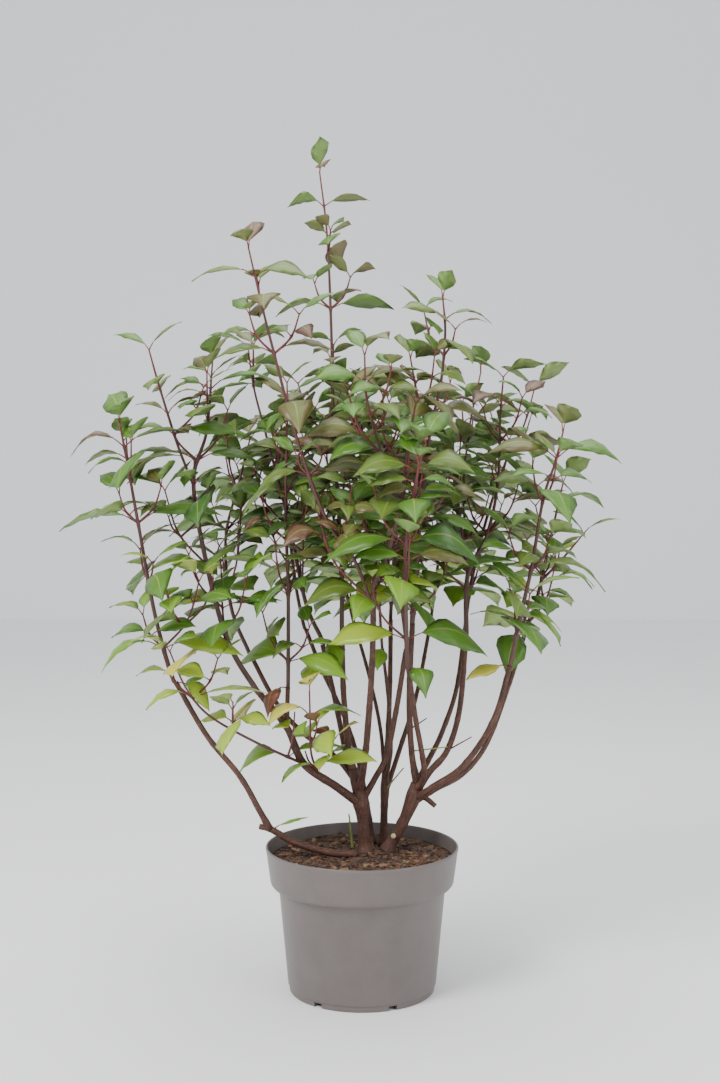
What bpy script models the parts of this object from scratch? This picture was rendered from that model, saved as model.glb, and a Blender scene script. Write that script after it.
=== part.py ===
"""A Bodnant viburnum in its nursery pot, with all its stems, boughs and leafy sprays.

Metres, +Z up. The origin is at the centre of the pot's flat underside, and -Y is the front.
"""

import math
import random

import bmesh
import bpy
from mathutils import Vector
from mathutils.bvhtree import BVHTree

GAP = 0.0003

# Nursery pot
POT_HEIGHT = 0.2145
POT_BASE_RADIUS = 0.1093
POT_SHOULDER_RADIUS = 0.1240
POT_SHOULDER_HEIGHT = 0.1550
POT_BAND_RADIUS = 0.1365
POT_BAND_HEIGHT = 0.1665
POT_RIM_RADIUS = 0.1428
POT_WALL = 0.0022
POT_FLOOR = 0.0035
POT_LIP = 0.0028
POT_EDGE = 0.0015
STEP_WIDTH = 0.0050
STEP_FLARE = 0.0022
POT_SEGMENTS = 38
FOOT_HEIGHT = 0.0090
FOOT_INSET = 0.0014
FOOT_WIDTH = 0.0110
FOOT_DRAFT = 0.0004
CHANNEL_HEIGHT = 0.0060
CHANNEL_WIDTH = 0.0200
CHANNEL_SLOPE = 0.0020
NOTCH_COUNT = 6
NOTCH_WIDTH = 0.0130
NOTCH_HEIGHT = 0.0070
FIRST_NOTCH = math.radians(-66)

# Soil
SOIL_TOP = 0.1960
SOIL_EDGE = 0.0020

# Limbs: sides of their tubes and how far apart the rings stand
TRUNK_SIDES = 10
BOUGH_SIDES = 7
TWIG_SIDES = 3
TRUNK_RING = 0.022
BOUGH_RING = 0.055
TWIG_RING = 0.090
FINE_STEP = 0.006
CUTTER_GAP = 1.15 * GAP
TWIG_SWELL = 1.45

# Leaves
LEAF_ARCH = 0.50
LEAF_WIDTH = 0.42
LEAF_CROWN = 0.045
LEAF_ROOT = 0.0011
LEAF_CLEAR = 0.0012
LEAF_LEAN = 0.55
LEAF_SCALE = 1.25
OUTER_DROOP = 0.25
RIM_CLEAR = 0.004

# Leaf pairs: ranges of angle in degrees, and of length against the stem's full leaf
TIP_RISE = (48, 66)
TIP_DROOP = (-22, 12)
TIP_SIZE = (0.62, 0.74)
TIP_SPREAD = 0.30
TIP_SINK = 0.002
PAIR_RISE = (30, 48)
PAIR_DROOP = (18, 42)
PAIR_SIZE = (0.86, 1.08)
PAIR_SPREAD = 0.22
PAIR_ROLL = 0.30
PAIR_OFFSET = 0.0006
YOUNG_SIZE = 0.80
SIZE_STEP = 0.16
SAG = 10
SAG_LENGTH = 0.26
LONGEST_GAP = 0.098
FOOT_MARGIN = 0.015

# What a leaf tries in turn to find room: a turn in radians, and a share of its length
LEAF_TRIES = ((0.0, 1.0), (0.3, 1.0), (-0.3, 1.0), (0.6, 0.9), (-0.6, 0.9), (0.0, 0.75))

# Side twigs: the range of their length, and the turns in radians that one tries
TWIG_LENGTH = (0.075, 0.150)
TWIG_TURNS = (0.2, -0.5, 0.9, -1.2, 1.7, -2.2, 2.8)
TWIG_RADII = (0.0018, 0.0015, 0.0011)
TWIG_TUBE_RING = 0.06
TWO_PAIRS_FROM = 0.10
TWIG_LEAF = 0.86
TWIG_FIRST_GAP = 0.034
TWIG_GROWTH = 1.15

# Stems that rise from the soil: points (x, y, z, radius) up each one
TRUNKS = {
    "trunk_left": (
        (0.005, 0.033, SOIL_TOP + GAP, 0.0130),
        (0.003, 0.032, 0.212, 0.0092),
        (0.001, 0.031, 0.242, 0.0086),
        (-0.001, 0.030, 0.268, 0.0115),
        (-0.007, 0.030, 0.295, 0.0092),
        (-0.014, 0.030, 0.322, 0.0072),
    ),
    "trunk_middle": (
        (0.032, 0.070, SOIL_TOP + GAP, 0.0085),
        (0.033, 0.070, 0.215, 0.0060),
        (0.034, 0.071, 0.255, 0.0056),
        (0.035, 0.074, 0.282, 0.0070),
        (0.036, 0.079, 0.315, 0.0052),
    ),
    "trunk_right": (
        (0.037, 0.030, SOIL_TOP + GAP, 0.0120),
        (0.046, 0.030, 0.213, 0.0086),
        (0.063, 0.030, 0.244, 0.0084),
        (0.077, 0.030, 0.280, 0.0118),
        (0.082, 0.030, 0.300, 0.0090),
    ),
    "trunk_behind": (
        (0.017, 0.078, SOIL_TOP + GAP, 0.0065),
        (0.014, 0.082, 0.215, 0.0046),
        (0.006, 0.088, 0.263, 0.0044),
        (-0.006, 0.094, 0.325, 0.0040),
    ),
    "young_shoot": (
        (-0.014, 0.048, SOIL_TOP + GAP, 0.0021),
        (-0.017, 0.047, 0.225, 0.0016),
        (-0.020, 0.046, 0.250, 0.0011),
    ),
}

# The stem that lies on the soil and climbs over the rim, ending in a cut stub
LYING_STEM = (
    (-0.008, 0.006, 0.1985, 0.0050),
    (-0.043, 0.000, 0.2020, 0.0052),
    (-0.076, -0.006, 0.2110, 0.0050),
    (-0.106, -0.012, 0.2240, 0.0050),
    (-0.134, -0.018, 0.2420, 0.0050),
    (-0.151, -0.021, 0.2470, 0.0042),
)

# Boughs: the limb each one leaves, and its points (x, y, z, radius) from that limb's heart to its tip
BOUGHS = {
    "bough_far_left": (
        "lying_stem",
        (
            (-0.136, -0.018, 0.243, 0.0048),
            (-0.150, -0.028, 0.272, 0.0045),
            (-0.178, -0.040, 0.326, 0.0042),
            (-0.224, -0.052, 0.387, 0.0040),
            (-0.267, -0.066, 0.467, 0.0037),
        ),
    ),
    "bough_low_left": (
        "trunk_left",
        (
            (-0.001, 0.030, 0.268, 0.0066),
            (-0.040, 0.012, 0.300, 0.0062),
            (-0.086, -0.010, 0.338, 0.0058),
            (-0.110, -0.028, 0.395, 0.0052),
            (-0.148, -0.040, 0.446, 0.0046),
        ),
    ),
    "bough_left_upright": (
        "bough_low_left",
        (
            (-0.110, -0.028, 0.395, 0.0036),
            (-0.109, -0.031, 0.425, 0.0034),
            (-0.108, -0.034, 0.455, 0.0033),
        ),
    ),
    "bough_tall": (
        "trunk_left",
        (
            (-0.014, 0.030, 0.3223, 0.0052),
            (-0.021, 0.032, 0.360, 0.0047),
            (-0.028, 0.035, 0.440, 0.0044),
            (-0.030, 0.038, 0.530, 0.0041),
        ),
    ),
    "bough_left_behind": (
        "trunk_left",
        (
            (-0.009, 0.030, 0.303, 0.0045),
            (-0.040, 0.040, 0.338, 0.0042),
            (-0.090, 0.056, 0.372, 0.0040),
            (-0.130, 0.072, 0.414, 0.0037),
            (-0.170, 0.090, 0.484, 0.0035),
        ),
    ),
    "bough_left_middle": (
        "trunk_left",
        (
            (-0.011, 0.030, 0.309, 0.0046),
            (-0.025, 0.044, 0.346, 0.0043),
            (-0.040, 0.056, 0.418, 0.0040),
            (-0.060, 0.066, 0.505, 0.0037),
        ),
    ),
    "bough_front_centre": (
        "trunk_left",
        (
            (-0.005, 0.030, 0.288, 0.0056),
            (0.001, 0.008, 0.320, 0.0052),
            (0.007, -0.024, 0.378, 0.0048),
            (0.014, -0.072, 0.490, 0.0044),
            (0.016, -0.108, 0.600, 0.0040),
        ),
    ),
    "bough_centre": (
        "trunk_left",
        (
            (0.000, 0.030, 0.274, 0.0052),
            (0.018, 0.026, 0.306, 0.0047),
            (0.037, 0.020, 0.346, 0.0043),
            (0.052, 0.010, 0.422, 0.0040),
            (0.064, 0.002, 0.502, 0.0037),
        ),
    ),
    "bough_back_centre": (
        "trunk_middle",
        (
            (0.036, 0.079, 0.3153, 0.0046),
            (0.040, 0.094, 0.362, 0.0042),
            (0.044, 0.138, 0.440, 0.0038),
            (0.046, 0.184, 0.530, 0.0035),
        ),
    ),
    "bough_slender": (
        "trunk_middle",
        (
            (0.035, 0.075, 0.290, 0.0032),
            (0.044, 0.062, 0.345, 0.0029),
            (0.040, 0.060, 0.420, 0.0027),
            (0.031, 0.056, 0.500, 0.0025),
        ),
    ),
    "bough_back_thin": (
        "trunk_middle",
        (
            (0.035, 0.076, 0.298, 0.0032),
            (0.028, 0.108, 0.372, 0.0029),
            (0.010, 0.148, 0.450, 0.0028),
            (-0.014, 0.186, 0.530, 0.0026),
        ),
    ),
    "bough_back_left": (
        "trunk_behind",
        (
            (-0.006, 0.094, 0.3253, 0.0038),
            (-0.028, 0.102, 0.390, 0.0036),
            (-0.062, 0.122, 0.458, 0.0034),
            (-0.088, 0.140, 0.520, 0.0032),
        ),
    ),
    "bough_right_upright": (
        "trunk_right",
        (
            (0.082, 0.030, 0.3003, 0.0054),
            (0.074, 0.024, 0.350, 0.0046),
            (0.070, 0.012, 0.432, 0.0043),
            (0.074, -0.004, 0.545, 0.0039),
        ),
    ),
    "bough_front": (
        "trunk_right",
        (
            (0.079, 0.030, 0.288, 0.0048),
            (0.092, 0.000, 0.322, 0.0043),
            (0.078, -0.050, 0.407, 0.0038),
            (0.065, -0.098, 0.490, 0.0034),
        ),
    ),
    "bough_right_middle": (
        "trunk_right",
        (
            (0.077, 0.030, 0.279, 0.0058),
            (0.100, 0.022, 0.318, 0.0052),
            (0.127, 0.026, 0.350, 0.0047),
            (0.146, 0.034, 0.410, 0.0043),
            (0.156, 0.046, 0.510, 0.0040),
        ),
    ),
    "bough_right_behind": (
        "trunk_right",
        (
            (0.078, 0.030, 0.284, 0.0048),
            (0.094, 0.052, 0.318, 0.0044),
            (0.120, 0.080, 0.362, 0.0040),
            (0.146, 0.112, 0.428, 0.0037),
            (0.160, 0.140, 0.510, 0.0034),
        ),
    ),
    "bough_far_right_low": (
        "trunk_right",
        (
            (0.076, 0.030, 0.275, 0.0056),
            (0.106, 0.006, 0.300, 0.0050),
            (0.150, -0.018, 0.338, 0.0046),
            (0.190, -0.044, 0.408, 0.0042),
            (0.212, -0.062, 0.490, 0.0038),
        ),
    ),
    "bough_far_right": (
        "trunk_right",
        (
            (0.075, 0.030, 0.270, 0.0050),
            (0.110, 0.032, 0.291, 0.0044),
            (0.152, 0.038, 0.313, 0.0041),
            (0.190, 0.054, 0.358, 0.0038),
            (0.226, 0.078, 0.446, 0.0035),
            (0.250, 0.094, 0.518, 0.0033),
        ),
    ),
    "bough_back_right": (
        "trunk_middle",
        (
            (0.034, 0.072, 0.272, 0.0042),
            (0.056, 0.104, 0.330, 0.0038),
            (0.086, 0.154, 0.414, 0.0034),
            (0.108, 0.204, 0.510, 0.0031),
        ),
    ),
}

# Leafy sprays: the limb each one grows from, its colour, and its stems. The first stem leaves the
# limb's tip, or the point given, and the others fork off it. Each stem has its points
# (x, y, z, radius), the length of its full leaves, the gap below its tip, how much longer each
# further gap down is, the turn of its first pair in degrees (0 is left and right, 90 front and
# back), how many pairs it has, and how many side twigs.
SPRAYS = {
    "foliage_far_left": (
        "bough_far_left",
        "upper",
        (
            (
                (
                    (-0.294, -0.080, 0.566, 0.0030),
                    (-0.313, -0.096, 0.688, 0.0025),
                    (-0.327, -0.110, 0.782, 0.0020),
                    (-0.336, -0.118, 0.836, 0.0013),
                ),
                0.104, 0.034, 1.36, 10, 6, 1,
            ),
        ),
    ),
    "foliage_left": (
        "bough_low_left",
        "upper",
        (
            (
                (
                    (-0.192, -0.052, 0.522, 0.0040),
                    (-0.220, -0.060, 0.626, 0.0036),
                    (-0.240, -0.062, 0.752, 0.0032),
                    (-0.222, -0.052, 0.826, 0.0023),
                    (-0.214, -0.042, 0.926, 0.0013),
                ),
                0.092, 0.040, 1.20, 0, 7, 2,
            ),
            (
                (
                    (-0.240, -0.062, 0.748, 0.0023),
                    (-0.260, -0.082, 0.806, 0.0020),
                    (-0.283, -0.106, 0.890, 0.0017),
                    (-0.295, -0.116, 0.938, 0.0012),
                ),
                0.078, 0.058, 1.15, 90, 3, 0,
            ),
        ),
    ),
    "foliage_left_upright": (
        "bough_left_upright",
        "middle",
        (
            (
                (
                    (-0.107, -0.040, 0.600, 0.0028),
                    (-0.110, -0.048, 0.720, 0.0023),
                    (-0.106, -0.052, 0.868, 0.0013),
                ),
                0.090, 0.036, 1.22, 60, 6, 2,
            ),
        ),
    ),
    "foliage_left_behind": (
        "bough_left_behind",
        "middle",
        (
            (
                (
                    (-0.202, 0.104, 0.560, 0.0030),
                    (-0.211, 0.120, 0.664, 0.0024),
                    (-0.191, 0.130, 0.749, 0.0019),
                    (-0.174, 0.138, 0.818, 0.0013),
                ),
                0.092, 0.034, 1.40, 20, 5, 2,
            ),
        ),
    ),
    "foliage_left_middle": (
        "bough_left_middle",
        "upper",
        (
            (
                (
                    (-0.086, 0.074, 0.570, 0.0033),
                    (-0.112, 0.086, 0.692, 0.0027),
                    (-0.146, 0.102, 0.820, 0.0020),
                    (-0.166, 0.112, 0.896, 0.0017),
                    (-0.175, 0.118, 0.958, 0.0012),
                ),
                0.088, 0.060, 1.12, 90, 6, 3,
            ),
        ),
    ),
    "foliage_back_left": (
        "bough_back_left",
        "middle",
        (
            (
                (
                    (-0.108, 0.164, 0.610, 0.0027),
                    (-0.122, 0.196, 0.740, 0.0020),
                    (-0.132, 0.214, 0.830, 0.0013),
                ),
                0.092, 0.040, 1.25, 40, 5, 3,
            ),
        ),
    ),
    "foliage_back_thin": (
        "bough_back_thin",
        "middle",
        (
            (
                (
                    (-0.038, 0.222, 0.640, 0.0022),
                    (-0.054, 0.246, 0.750, 0.0018),
                    (-0.060, 0.258, 0.850, 0.0012),
                ),
                0.090, 0.040, 1.22, 70, 5, 3,
            ),
        ),
    ),
    "foliage_top": (
        "bough_tall",
        "top",
        (
            (
                (
                    (-0.031, 0.040, 0.640, 0.0034),
                    (-0.042, 0.045, 0.825, 0.0028),
                    (-0.046, 0.048, 0.985, 0.0022),
                    (-0.052, 0.050, 1.118, 0.0017),
                    (-0.063, 0.050, 1.212, 0.0012),
                ),
                0.080, 0.052, 1.28, 0, 8, 3,
            ),
        ),
    ),
    "foliage_front_centre": (
        "bough_front_centre",
        "upper",
        (
            (
                (
                    (0.038, -0.128, 0.664, 0.0032),
                    (0.053, -0.150, 0.727, 0.0028),
                    (0.061, -0.172, 0.800, 0.0020),
                    (0.072, -0.188, 0.862, 0.0013),
                ),
                0.092, 0.040, 1.22, 90, 5, 2,
            ),
            (
                (
                    (0.053, -0.150, 0.722, 0.0022),
                    (0.024, -0.176, 0.800, 0.0019),
                    (0.006, -0.200, 0.866, 0.0016),
                    (0.003, -0.208, 0.924, 0.0012),
                ),
                0.084, 0.038, 1.22, 30, 4, 1,
            ),
        ),
    ),
    "foliage_upper_left": (
        ("bough_front_centre", 0.93),
        "top",
        (
            (
                (
                    (-0.011, -0.120, 0.646, 0.0026),
                    (-0.050, -0.132, 0.704, 0.0026),
                    (-0.088, -0.146, 0.810, 0.0023),
                    (-0.122, -0.158, 0.939, 0.0020),
                    (-0.137, -0.164, 1.000, 0.0016),
                    (-0.153, -0.168, 1.070, 0.0012),
                ),
                0.084, 0.038, 1.26, 0, 7, 1,
            ),
        ),
    ),
    "foliage_centre": (
        "bough_centre",
        "middle",
        (
            (
                (
                    (0.060, 0.000, 0.560, 0.0033),
                    (0.048, -0.004, 0.640, 0.0028),
                    (0.036, -0.010, 0.740, 0.0022),
                    (0.030, -0.014, 0.880, 0.0013),
                ),
                0.090, 0.040, 1.20, 50, 6, 3,
            ),
        ),
    ),
    "foliage_back_centre": (
        "bough_back_centre",
        "middle",
        (
            (
                (
                    (0.052, 0.222, 0.630, 0.0028),
                    (0.064, 0.250, 0.740, 0.0021),
                    (0.070, 0.268, 0.856, 0.0013),
                ),
                0.094, 0.040, 1.22, 10, 6, 3,
            ),
        ),
    ),
    "foliage_slender": (
        "bough_slender",
        "middle",
        (
            (
                (
                    (0.022, 0.046, 0.620, 0.0021),
                    (0.008, 0.050, 0.740, 0.0018),
                    (-0.004, 0.060, 0.880, 0.0012),
                ),
                0.086, 0.040, 1.22, 80, 6, 2,
            ),
        ),
    ),
    "foliage_right_upright": (
        "bough_right_upright",
        "top",
        (
            (
                (
                    (0.080, -0.018, 0.640, 0.0036),
                    (0.086, -0.030, 0.724, 0.0032),
                    (0.098, -0.040, 0.826, 0.0025),
                    (0.112, -0.050, 0.892, 0.0022),
                    (0.118, -0.056, 0.965, 0.0018),
                    (0.114, -0.060, 1.016, 0.0013),
                ),
                0.082, 0.032, 1.62, 20, 6, 2,
            ),
            (
                (
                    (0.096, -0.039, 0.818, 0.0020),
                    (0.080, -0.052, 0.873, 0.0016),
                    (0.068, -0.062, 0.931, 0.0012),
                ),
                0.080, 0.036, 1.20, 20, 3, 0,
            ),
        ),
    ),
    "foliage_front": (
        "bough_front",
        "middle",
        (
            (
                (
                    (0.060, -0.142, 0.580, 0.0030),
                    (0.058, -0.184, 0.662, 0.0025),
                    (0.066, -0.214, 0.736, 0.0020),
                    (0.082, -0.234, 0.806, 0.0013),
                ),
                0.096, 0.040, 1.20, 0, 6, 2,
            ),
        ),
    ),
    "foliage_right_middle": (
        "bough_right_middle",
        "upper",
        (
            (
                (
                    (0.159, 0.050, 0.612, 0.0036),
                    (0.186, 0.042, 0.670, 0.0028),
                    (0.202, 0.032, 0.750, 0.0022),
                    (0.204, 0.022, 0.845, 0.0018),
                    (0.208, 0.018, 0.908, 0.0013),
                ),
                0.092, 0.044, 1.20, 40, 5, 2,
            ),
            (
                (
                    (0.159, 0.050, 0.610, 0.0026),
                    (0.150, 0.056, 0.680, 0.0022),
                    (0.144, 0.062, 0.740, 0.0017),
                    (0.148, 0.060, 0.812, 0.0012),
                ),
                0.092, 0.040, 1.24, 0, 4, 1,
            ),
        ),
    ),
    "foliage_right_behind": (
        "bough_right_behind",
        "upper",
        (
            (
                (
                    (0.172, 0.160, 0.590, 0.0030),
                    (0.198, 0.186, 0.690, 0.0025),
                    (0.228, 0.200, 0.778, 0.0020),
                    (0.258, 0.204, 0.838, 0.0016),
                    (0.276, 0.206, 0.900, 0.0012),
                ),
                0.086, 0.046, 1.22, 60, 6, 2,
            ),
            (
                (
                    (0.174, 0.164, 0.600, 0.0024),
                    (0.158, 0.138, 0.720, 0.0020),
                    (0.166, 0.132, 0.830, 0.0016),
                    (0.184, 0.132, 0.922, 0.0012),
                ),
                0.084, 0.050, 1.20, 10, 5, 1,
            ),
        ),
    ),
    "foliage_far_right_low": (
        "bough_far_right_low",
        "upper",
        (
            (
                (
                    (0.224, -0.072, 0.556, 0.0032),
                    (0.240, -0.082, 0.634, 0.0028),
                    (0.254, -0.092, 0.728, 0.0022),
                    (0.270, -0.100, 0.782, 0.0017),
                    (0.280, -0.104, 0.824, 0.0013),
                ),
                0.108, 0.038, 1.70, 0, 6, 1,
            ),
        ),
    ),
    "foliage_far_right": (
        "bough_far_right",
        "middle",
        (
            (
                (
                    (0.268, 0.104, 0.566, 0.0030),
                    (0.284, 0.114, 0.630, 0.0025),
                    (0.298, 0.122, 0.690, 0.0019),
                    (0.312, 0.126, 0.752, 0.0013),
                ),
                0.096, 0.040, 1.24, 30, 4, 1,
            ),
            (
                (
                    (0.276, 0.109, 0.598, 0.0022),
                    (0.312, 0.118, 0.634, 0.0018),
                    (0.345, 0.126, 0.672, 0.0012),
                ),
                0.080, 0.070, 1.00, 90, 1, 0,
            ),
        ),
    ),
    "foliage_back_right": (
        "bough_back_right",
        "middle",
        (
            (
                (
                    (0.122, 0.238, 0.600, 0.0025),
                    (0.134, 0.262, 0.700, 0.0020),
                    (0.142, 0.276, 0.800, 0.0013),
                ),
                0.094, 0.040, 1.22, 20, 5, 3,
            ),
        ),
    ),
    "foliage_low_left": (
        ("bough_low_left", 0.47),
        "low",
        (
            (
                (
                    (-0.153, -0.046, 0.376, 0.0020),
                    (-0.218, -0.074, 0.420, 0.0018),
                    (-0.250, -0.086, 0.462, 0.0015),
                    (-0.272, -0.094, 0.516, 0.0012),
                ),
                0.084, 0.030, 1.60, 90, 4, 0,
            ),
        ),
    ),
    "foliage_low_centre": (
        ("bough_low_left", 0.34),
        "low",
        (
            (
                (
                    (-0.074, -0.030, 0.356, 0.0017),
                    (-0.075, -0.044, 0.400, 0.0015),
                    (-0.076, -0.050, 0.452, 0.0012),
                ),
                0.088, 0.036, 1.20, 10, 3, 0,
            ),
        ),
    ),
}

COLOURS = {
    "pot": (0.300, 0.268, 0.252),
    "soil": (0.130, 0.050, 0.025),
    "bark": (0.070, 0.030, 0.018),
    "shoot": (0.150, 0.220, 0.050),
    "twig": (0.110, 0.028, 0.020),
    "top": (0.150, 0.170, 0.060),
    "upper": (0.120, 0.180, 0.050),
    "middle": (0.090, 0.180, 0.040),
    "low": (0.300, 0.400, 0.060),
}
POT_ROUGHNESS = 0.42
OTHER_ROUGHNESS = 0.75

BLOCK_FACES = [(0, 1, 3, 2), (4, 6, 7, 5), (0, 4, 5, 1), (2, 3, 7, 6), (0, 2, 6, 4), (1, 5, 7, 3)]
UP = Vector((0.0, 0.0, 1.0))


def clear_scene():
    for obj in list(bpy.data.objects):
        bpy.data.objects.remove(obj, do_unlink=True)


def material(name, colour, roughness):
    made = bpy.data.materials.new(name)
    made.use_nodes = True
    shader = made.node_tree.nodes["Principled BSDF"]
    shader.inputs["Base Color"].default_value = (*colour, 1.0)
    shader.inputs["Roughness"].default_value = roughness
    shader.inputs["Metallic"].default_value = 0.0
    made.diffuse_color = (*colour, 1.0)
    return made


def mesh_object(name, points, faces, finish=None):
    mesh = bpy.data.meshes.new(name)
    mesh.from_pydata([tuple(point) for point in points], [], faces)
    mesh.update()
    obj = bpy.data.objects.new(name, mesh)
    bpy.context.scene.collection.objects.link(obj)
    if finish:
        mesh.materials.append(finish)
    return obj


def face_outwards(obj):
    shape = bmesh.new()
    shape.from_mesh(obj.data)
    bmesh.ops.recalc_face_normals(shape, faces=shape.faces)
    shape.to_mesh(obj.data)
    shape.free()


def turned(name, profile, finish):
    """A closed solid turned about Z from (radius, height) points that start and end on the axis."""
    shape = bmesh.new()
    corners = [shape.verts.new((radius, 0.0, height)) for radius, height in profile]
    edges = [shape.edges.new(pair) for pair in zip(corners, corners[1:])]
    bmesh.ops.spin(
        shape,
        geom=corners + edges,
        cent=(0.0, 0.0, 0.0),
        axis=(0.0, 0.0, 1.0),
        angle=math.tau,
        steps=POT_SEGMENTS,
        use_merge=True,
    )
    bmesh.ops.remove_doubles(shape, verts=shape.verts, dist=0.00001)
    bmesh.ops.recalc_face_normals(shape, faces=shape.faces)
    mesh = bpy.data.meshes.new(name)
    shape.to_mesh(mesh)
    shape.free()
    mesh.materials.append(finish)
    obj = bpy.data.objects.new(name, mesh)
    bpy.context.scene.collection.objects.link(obj)
    return obj


def apply_boolean(target, operation, cutter=None, collection=None):
    modifier = target.modifiers.new(operation.lower(), "BOOLEAN")
    modifier.operation = operation
    modifier.material_mode = "TRANSFER"
    if collection:
        modifier.operand_type = "COLLECTION"
        modifier.collection = collection
    else:
        modifier.object = cutter
    bpy.context.view_layer.objects.active = target
    bpy.ops.object.modifier_apply(modifier=modifier.name)


def cut(target, cutter):
    apply_boolean(target, "DIFFERENCE", cutter)
    bpy.data.objects.remove(cutter, do_unlink=True)


def keep_largest_shell(obj):
    """Drops loose scraps and fills sealed hollows, by keeping only the shell with the most volume."""
    shape = bmesh.new()
    shape.from_mesh(obj.data)
    bmesh.ops.triangulate(shape, faces=shape.faces)
    shape.faces.ensure_lookup_table()
    seen = set()
    shells = []
    for face in shape.faces:
        if face.index in seen:
            continue
        seen.add(face.index)
        shell = [face]
        for member in shell:
            for edge in member.edges:
                for neighbour in edge.link_faces:
                    if neighbour.index not in seen:
                        seen.add(neighbour.index)
                        shell.append(neighbour)
        shells.append(shell)
    if len(shells) > 1:
        shells.sort(key=shell_volume)
        scrap = [face for shell in shells[:-1] for face in shell]
        bmesh.ops.delete(shape, geom=scrap, context="FACES")
    shape.to_mesh(obj.data)
    shape.free()


def shell_volume(shell):
    total = 0.0
    for face in shell:
        a, b, c = [corner.co for corner in face.verts]
        total += a.dot(b.cross(c)) / 6.0
    return total


def smooth_route(points, spacing):
    """Points (place, radius) on a smooth curve through the given (x, y, z, radius) points."""
    places = [Vector(point[:3]) for point in points]
    radii = [point[3] for point in points]
    places = [2 * places[0] - places[1], *places, 2 * places[-1] - places[-2]]
    radii = [radii[0], *radii, radii[-1]]
    route = []
    for index in range(1, len(places) - 2):
        a, b, c, d = places[index - 1 : index + 3]
        steps = max(1, round((c - b).length / spacing))
        for step in range(steps):
            t = step / steps
            place = 0.5 * (
                2 * b
                + (c - a) * t
                + (2 * a - 5 * b + 4 * c - d) * t * t
                + (3 * b - 3 * c + d - a) * t * t * t
            )
            ease = t * t * (3 - 2 * t)
            radius = radii[index] * (1 - ease) + radii[index + 1] * ease
            route.append((place, radius))
    route.append((places[-2], radii[-2]))
    return route


def headings(route):
    """The direction of travel at each point of a route."""
    places = [place for place, _ in route]
    last = len(places) - 1
    return [
        (places[min(index + 1, last)] - places[max(index - 1, 0)]).normalized()
        for index in range(len(places))
    ]


def tube(route, sides, extra=0.0, level_start=False):
    """Corner points and faces of a closed tube along a route of (place, radius)."""
    ways = headings(route)
    if level_start:
        ways[0] = UP
    across = ways[0].cross(Vector((0.0, 1.0, 0.0)))
    if across.length < 0.1:
        across = ways[0].cross(Vector((1.0, 0.0, 0.0)))
    points = []
    for (place, radius), way in zip(route, ways):
        across = (across - way * across.dot(way)).normalized()
        beside = way.cross(across)
        for side in range(sides):
            angle = math.tau * side / sides
            spoke = across * math.cos(angle) + beside * math.sin(angle)
            points.append(place + spoke * (radius + extra))
    faces = []
    for ring in range(len(route) - 1):
        for side in range(sides):
            a = ring * sides + side
            b = ring * sides + (side + 1) % sides
            faces.append((a, b, b + sides, a + sides))
    faces.append(tuple(range(sides - 1, -1, -1)))
    faces.append(tuple(range(len(points) - sides, len(points))))
    return points, faces


def point_along(points, fraction):
    """The place and radius at a fraction of the length of a limb."""
    route = smooth_route(points, FINE_STEP)
    lengths = [(b[0] - a[0]).length for a, b in zip(route, route[1:])]
    left = fraction * sum(lengths)
    for (start, start_radius), (end, _), length in zip(route, route[1:], lengths):
        if left <= length:
            return start.lerp(end, left / length), start_radius
        left -= length
    return route[-1]


def make_pot(finish):
    wall = POT_WALL
    foot_outer = POT_BASE_RADIUS - FOOT_INSET
    foot_inner = foot_outer - FOOT_WIDTH
    channel_inner = foot_inner - CHANNEL_WIDTH
    floor_top = CHANNEL_HEIGHT + POT_FLOOR
    lip_inner = POT_RIM_RADIUS - POT_LIP
    profile = [
        (0.0, 0.0),
        (channel_inner, 0.0),
        (channel_inner + CHANNEL_SLOPE, CHANNEL_HEIGHT),
        (foot_inner - CHANNEL_SLOPE, CHANNEL_HEIGHT),
        (foot_inner, 0.0),
        (foot_outer - POT_EDGE, 0.0),
        (foot_outer, POT_EDGE),
        (foot_outer + FOOT_DRAFT, FOOT_HEIGHT),
        (POT_BASE_RADIUS + 2 * FOOT_DRAFT, FOOT_HEIGHT + POT_EDGE),
        (POT_SHOULDER_RADIUS, POT_SHOULDER_HEIGHT),
        (POT_SHOULDER_RADIUS + STEP_WIDTH, POT_SHOULDER_HEIGHT + POT_EDGE),
        (POT_BAND_RADIUS - STEP_FLARE, POT_BAND_HEIGHT - STEP_WIDTH),
        (POT_BAND_RADIUS, POT_BAND_HEIGHT),
        (POT_RIM_RADIUS - POT_EDGE / 2, POT_HEIGHT - 4 * POT_EDGE),
        (POT_RIM_RADIUS, POT_HEIGHT - 3 * POT_EDGE),
        (POT_RIM_RADIUS, POT_HEIGHT - POT_EDGE),
        (POT_RIM_RADIUS - POT_EDGE, POT_HEIGHT),
        (lip_inner, POT_HEIGHT),
        (lip_inner - POT_EDGE / 2, POT_HEIGHT - 2 * POT_EDGE),
        (POT_BAND_RADIUS - wall, POT_BAND_HEIGHT),
        (POT_SHOULDER_RADIUS - wall, POT_SHOULDER_HEIGHT),
        (POT_BASE_RADIUS - wall, floor_top),
        (0.0, floor_top),
    ]
    pot = turned("pot", profile, finish)
    for notch in range(NOTCH_COUNT):
        angle = FIRST_NOTCH + math.tau * notch / NOTCH_COUNT
        cut(pot, notch_cutter(angle, foot_inner, foot_outer))
    pot.data.shade_smooth()
    pot.data.set_sharp_from_angle(angle=math.radians(32))
    return pot


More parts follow.
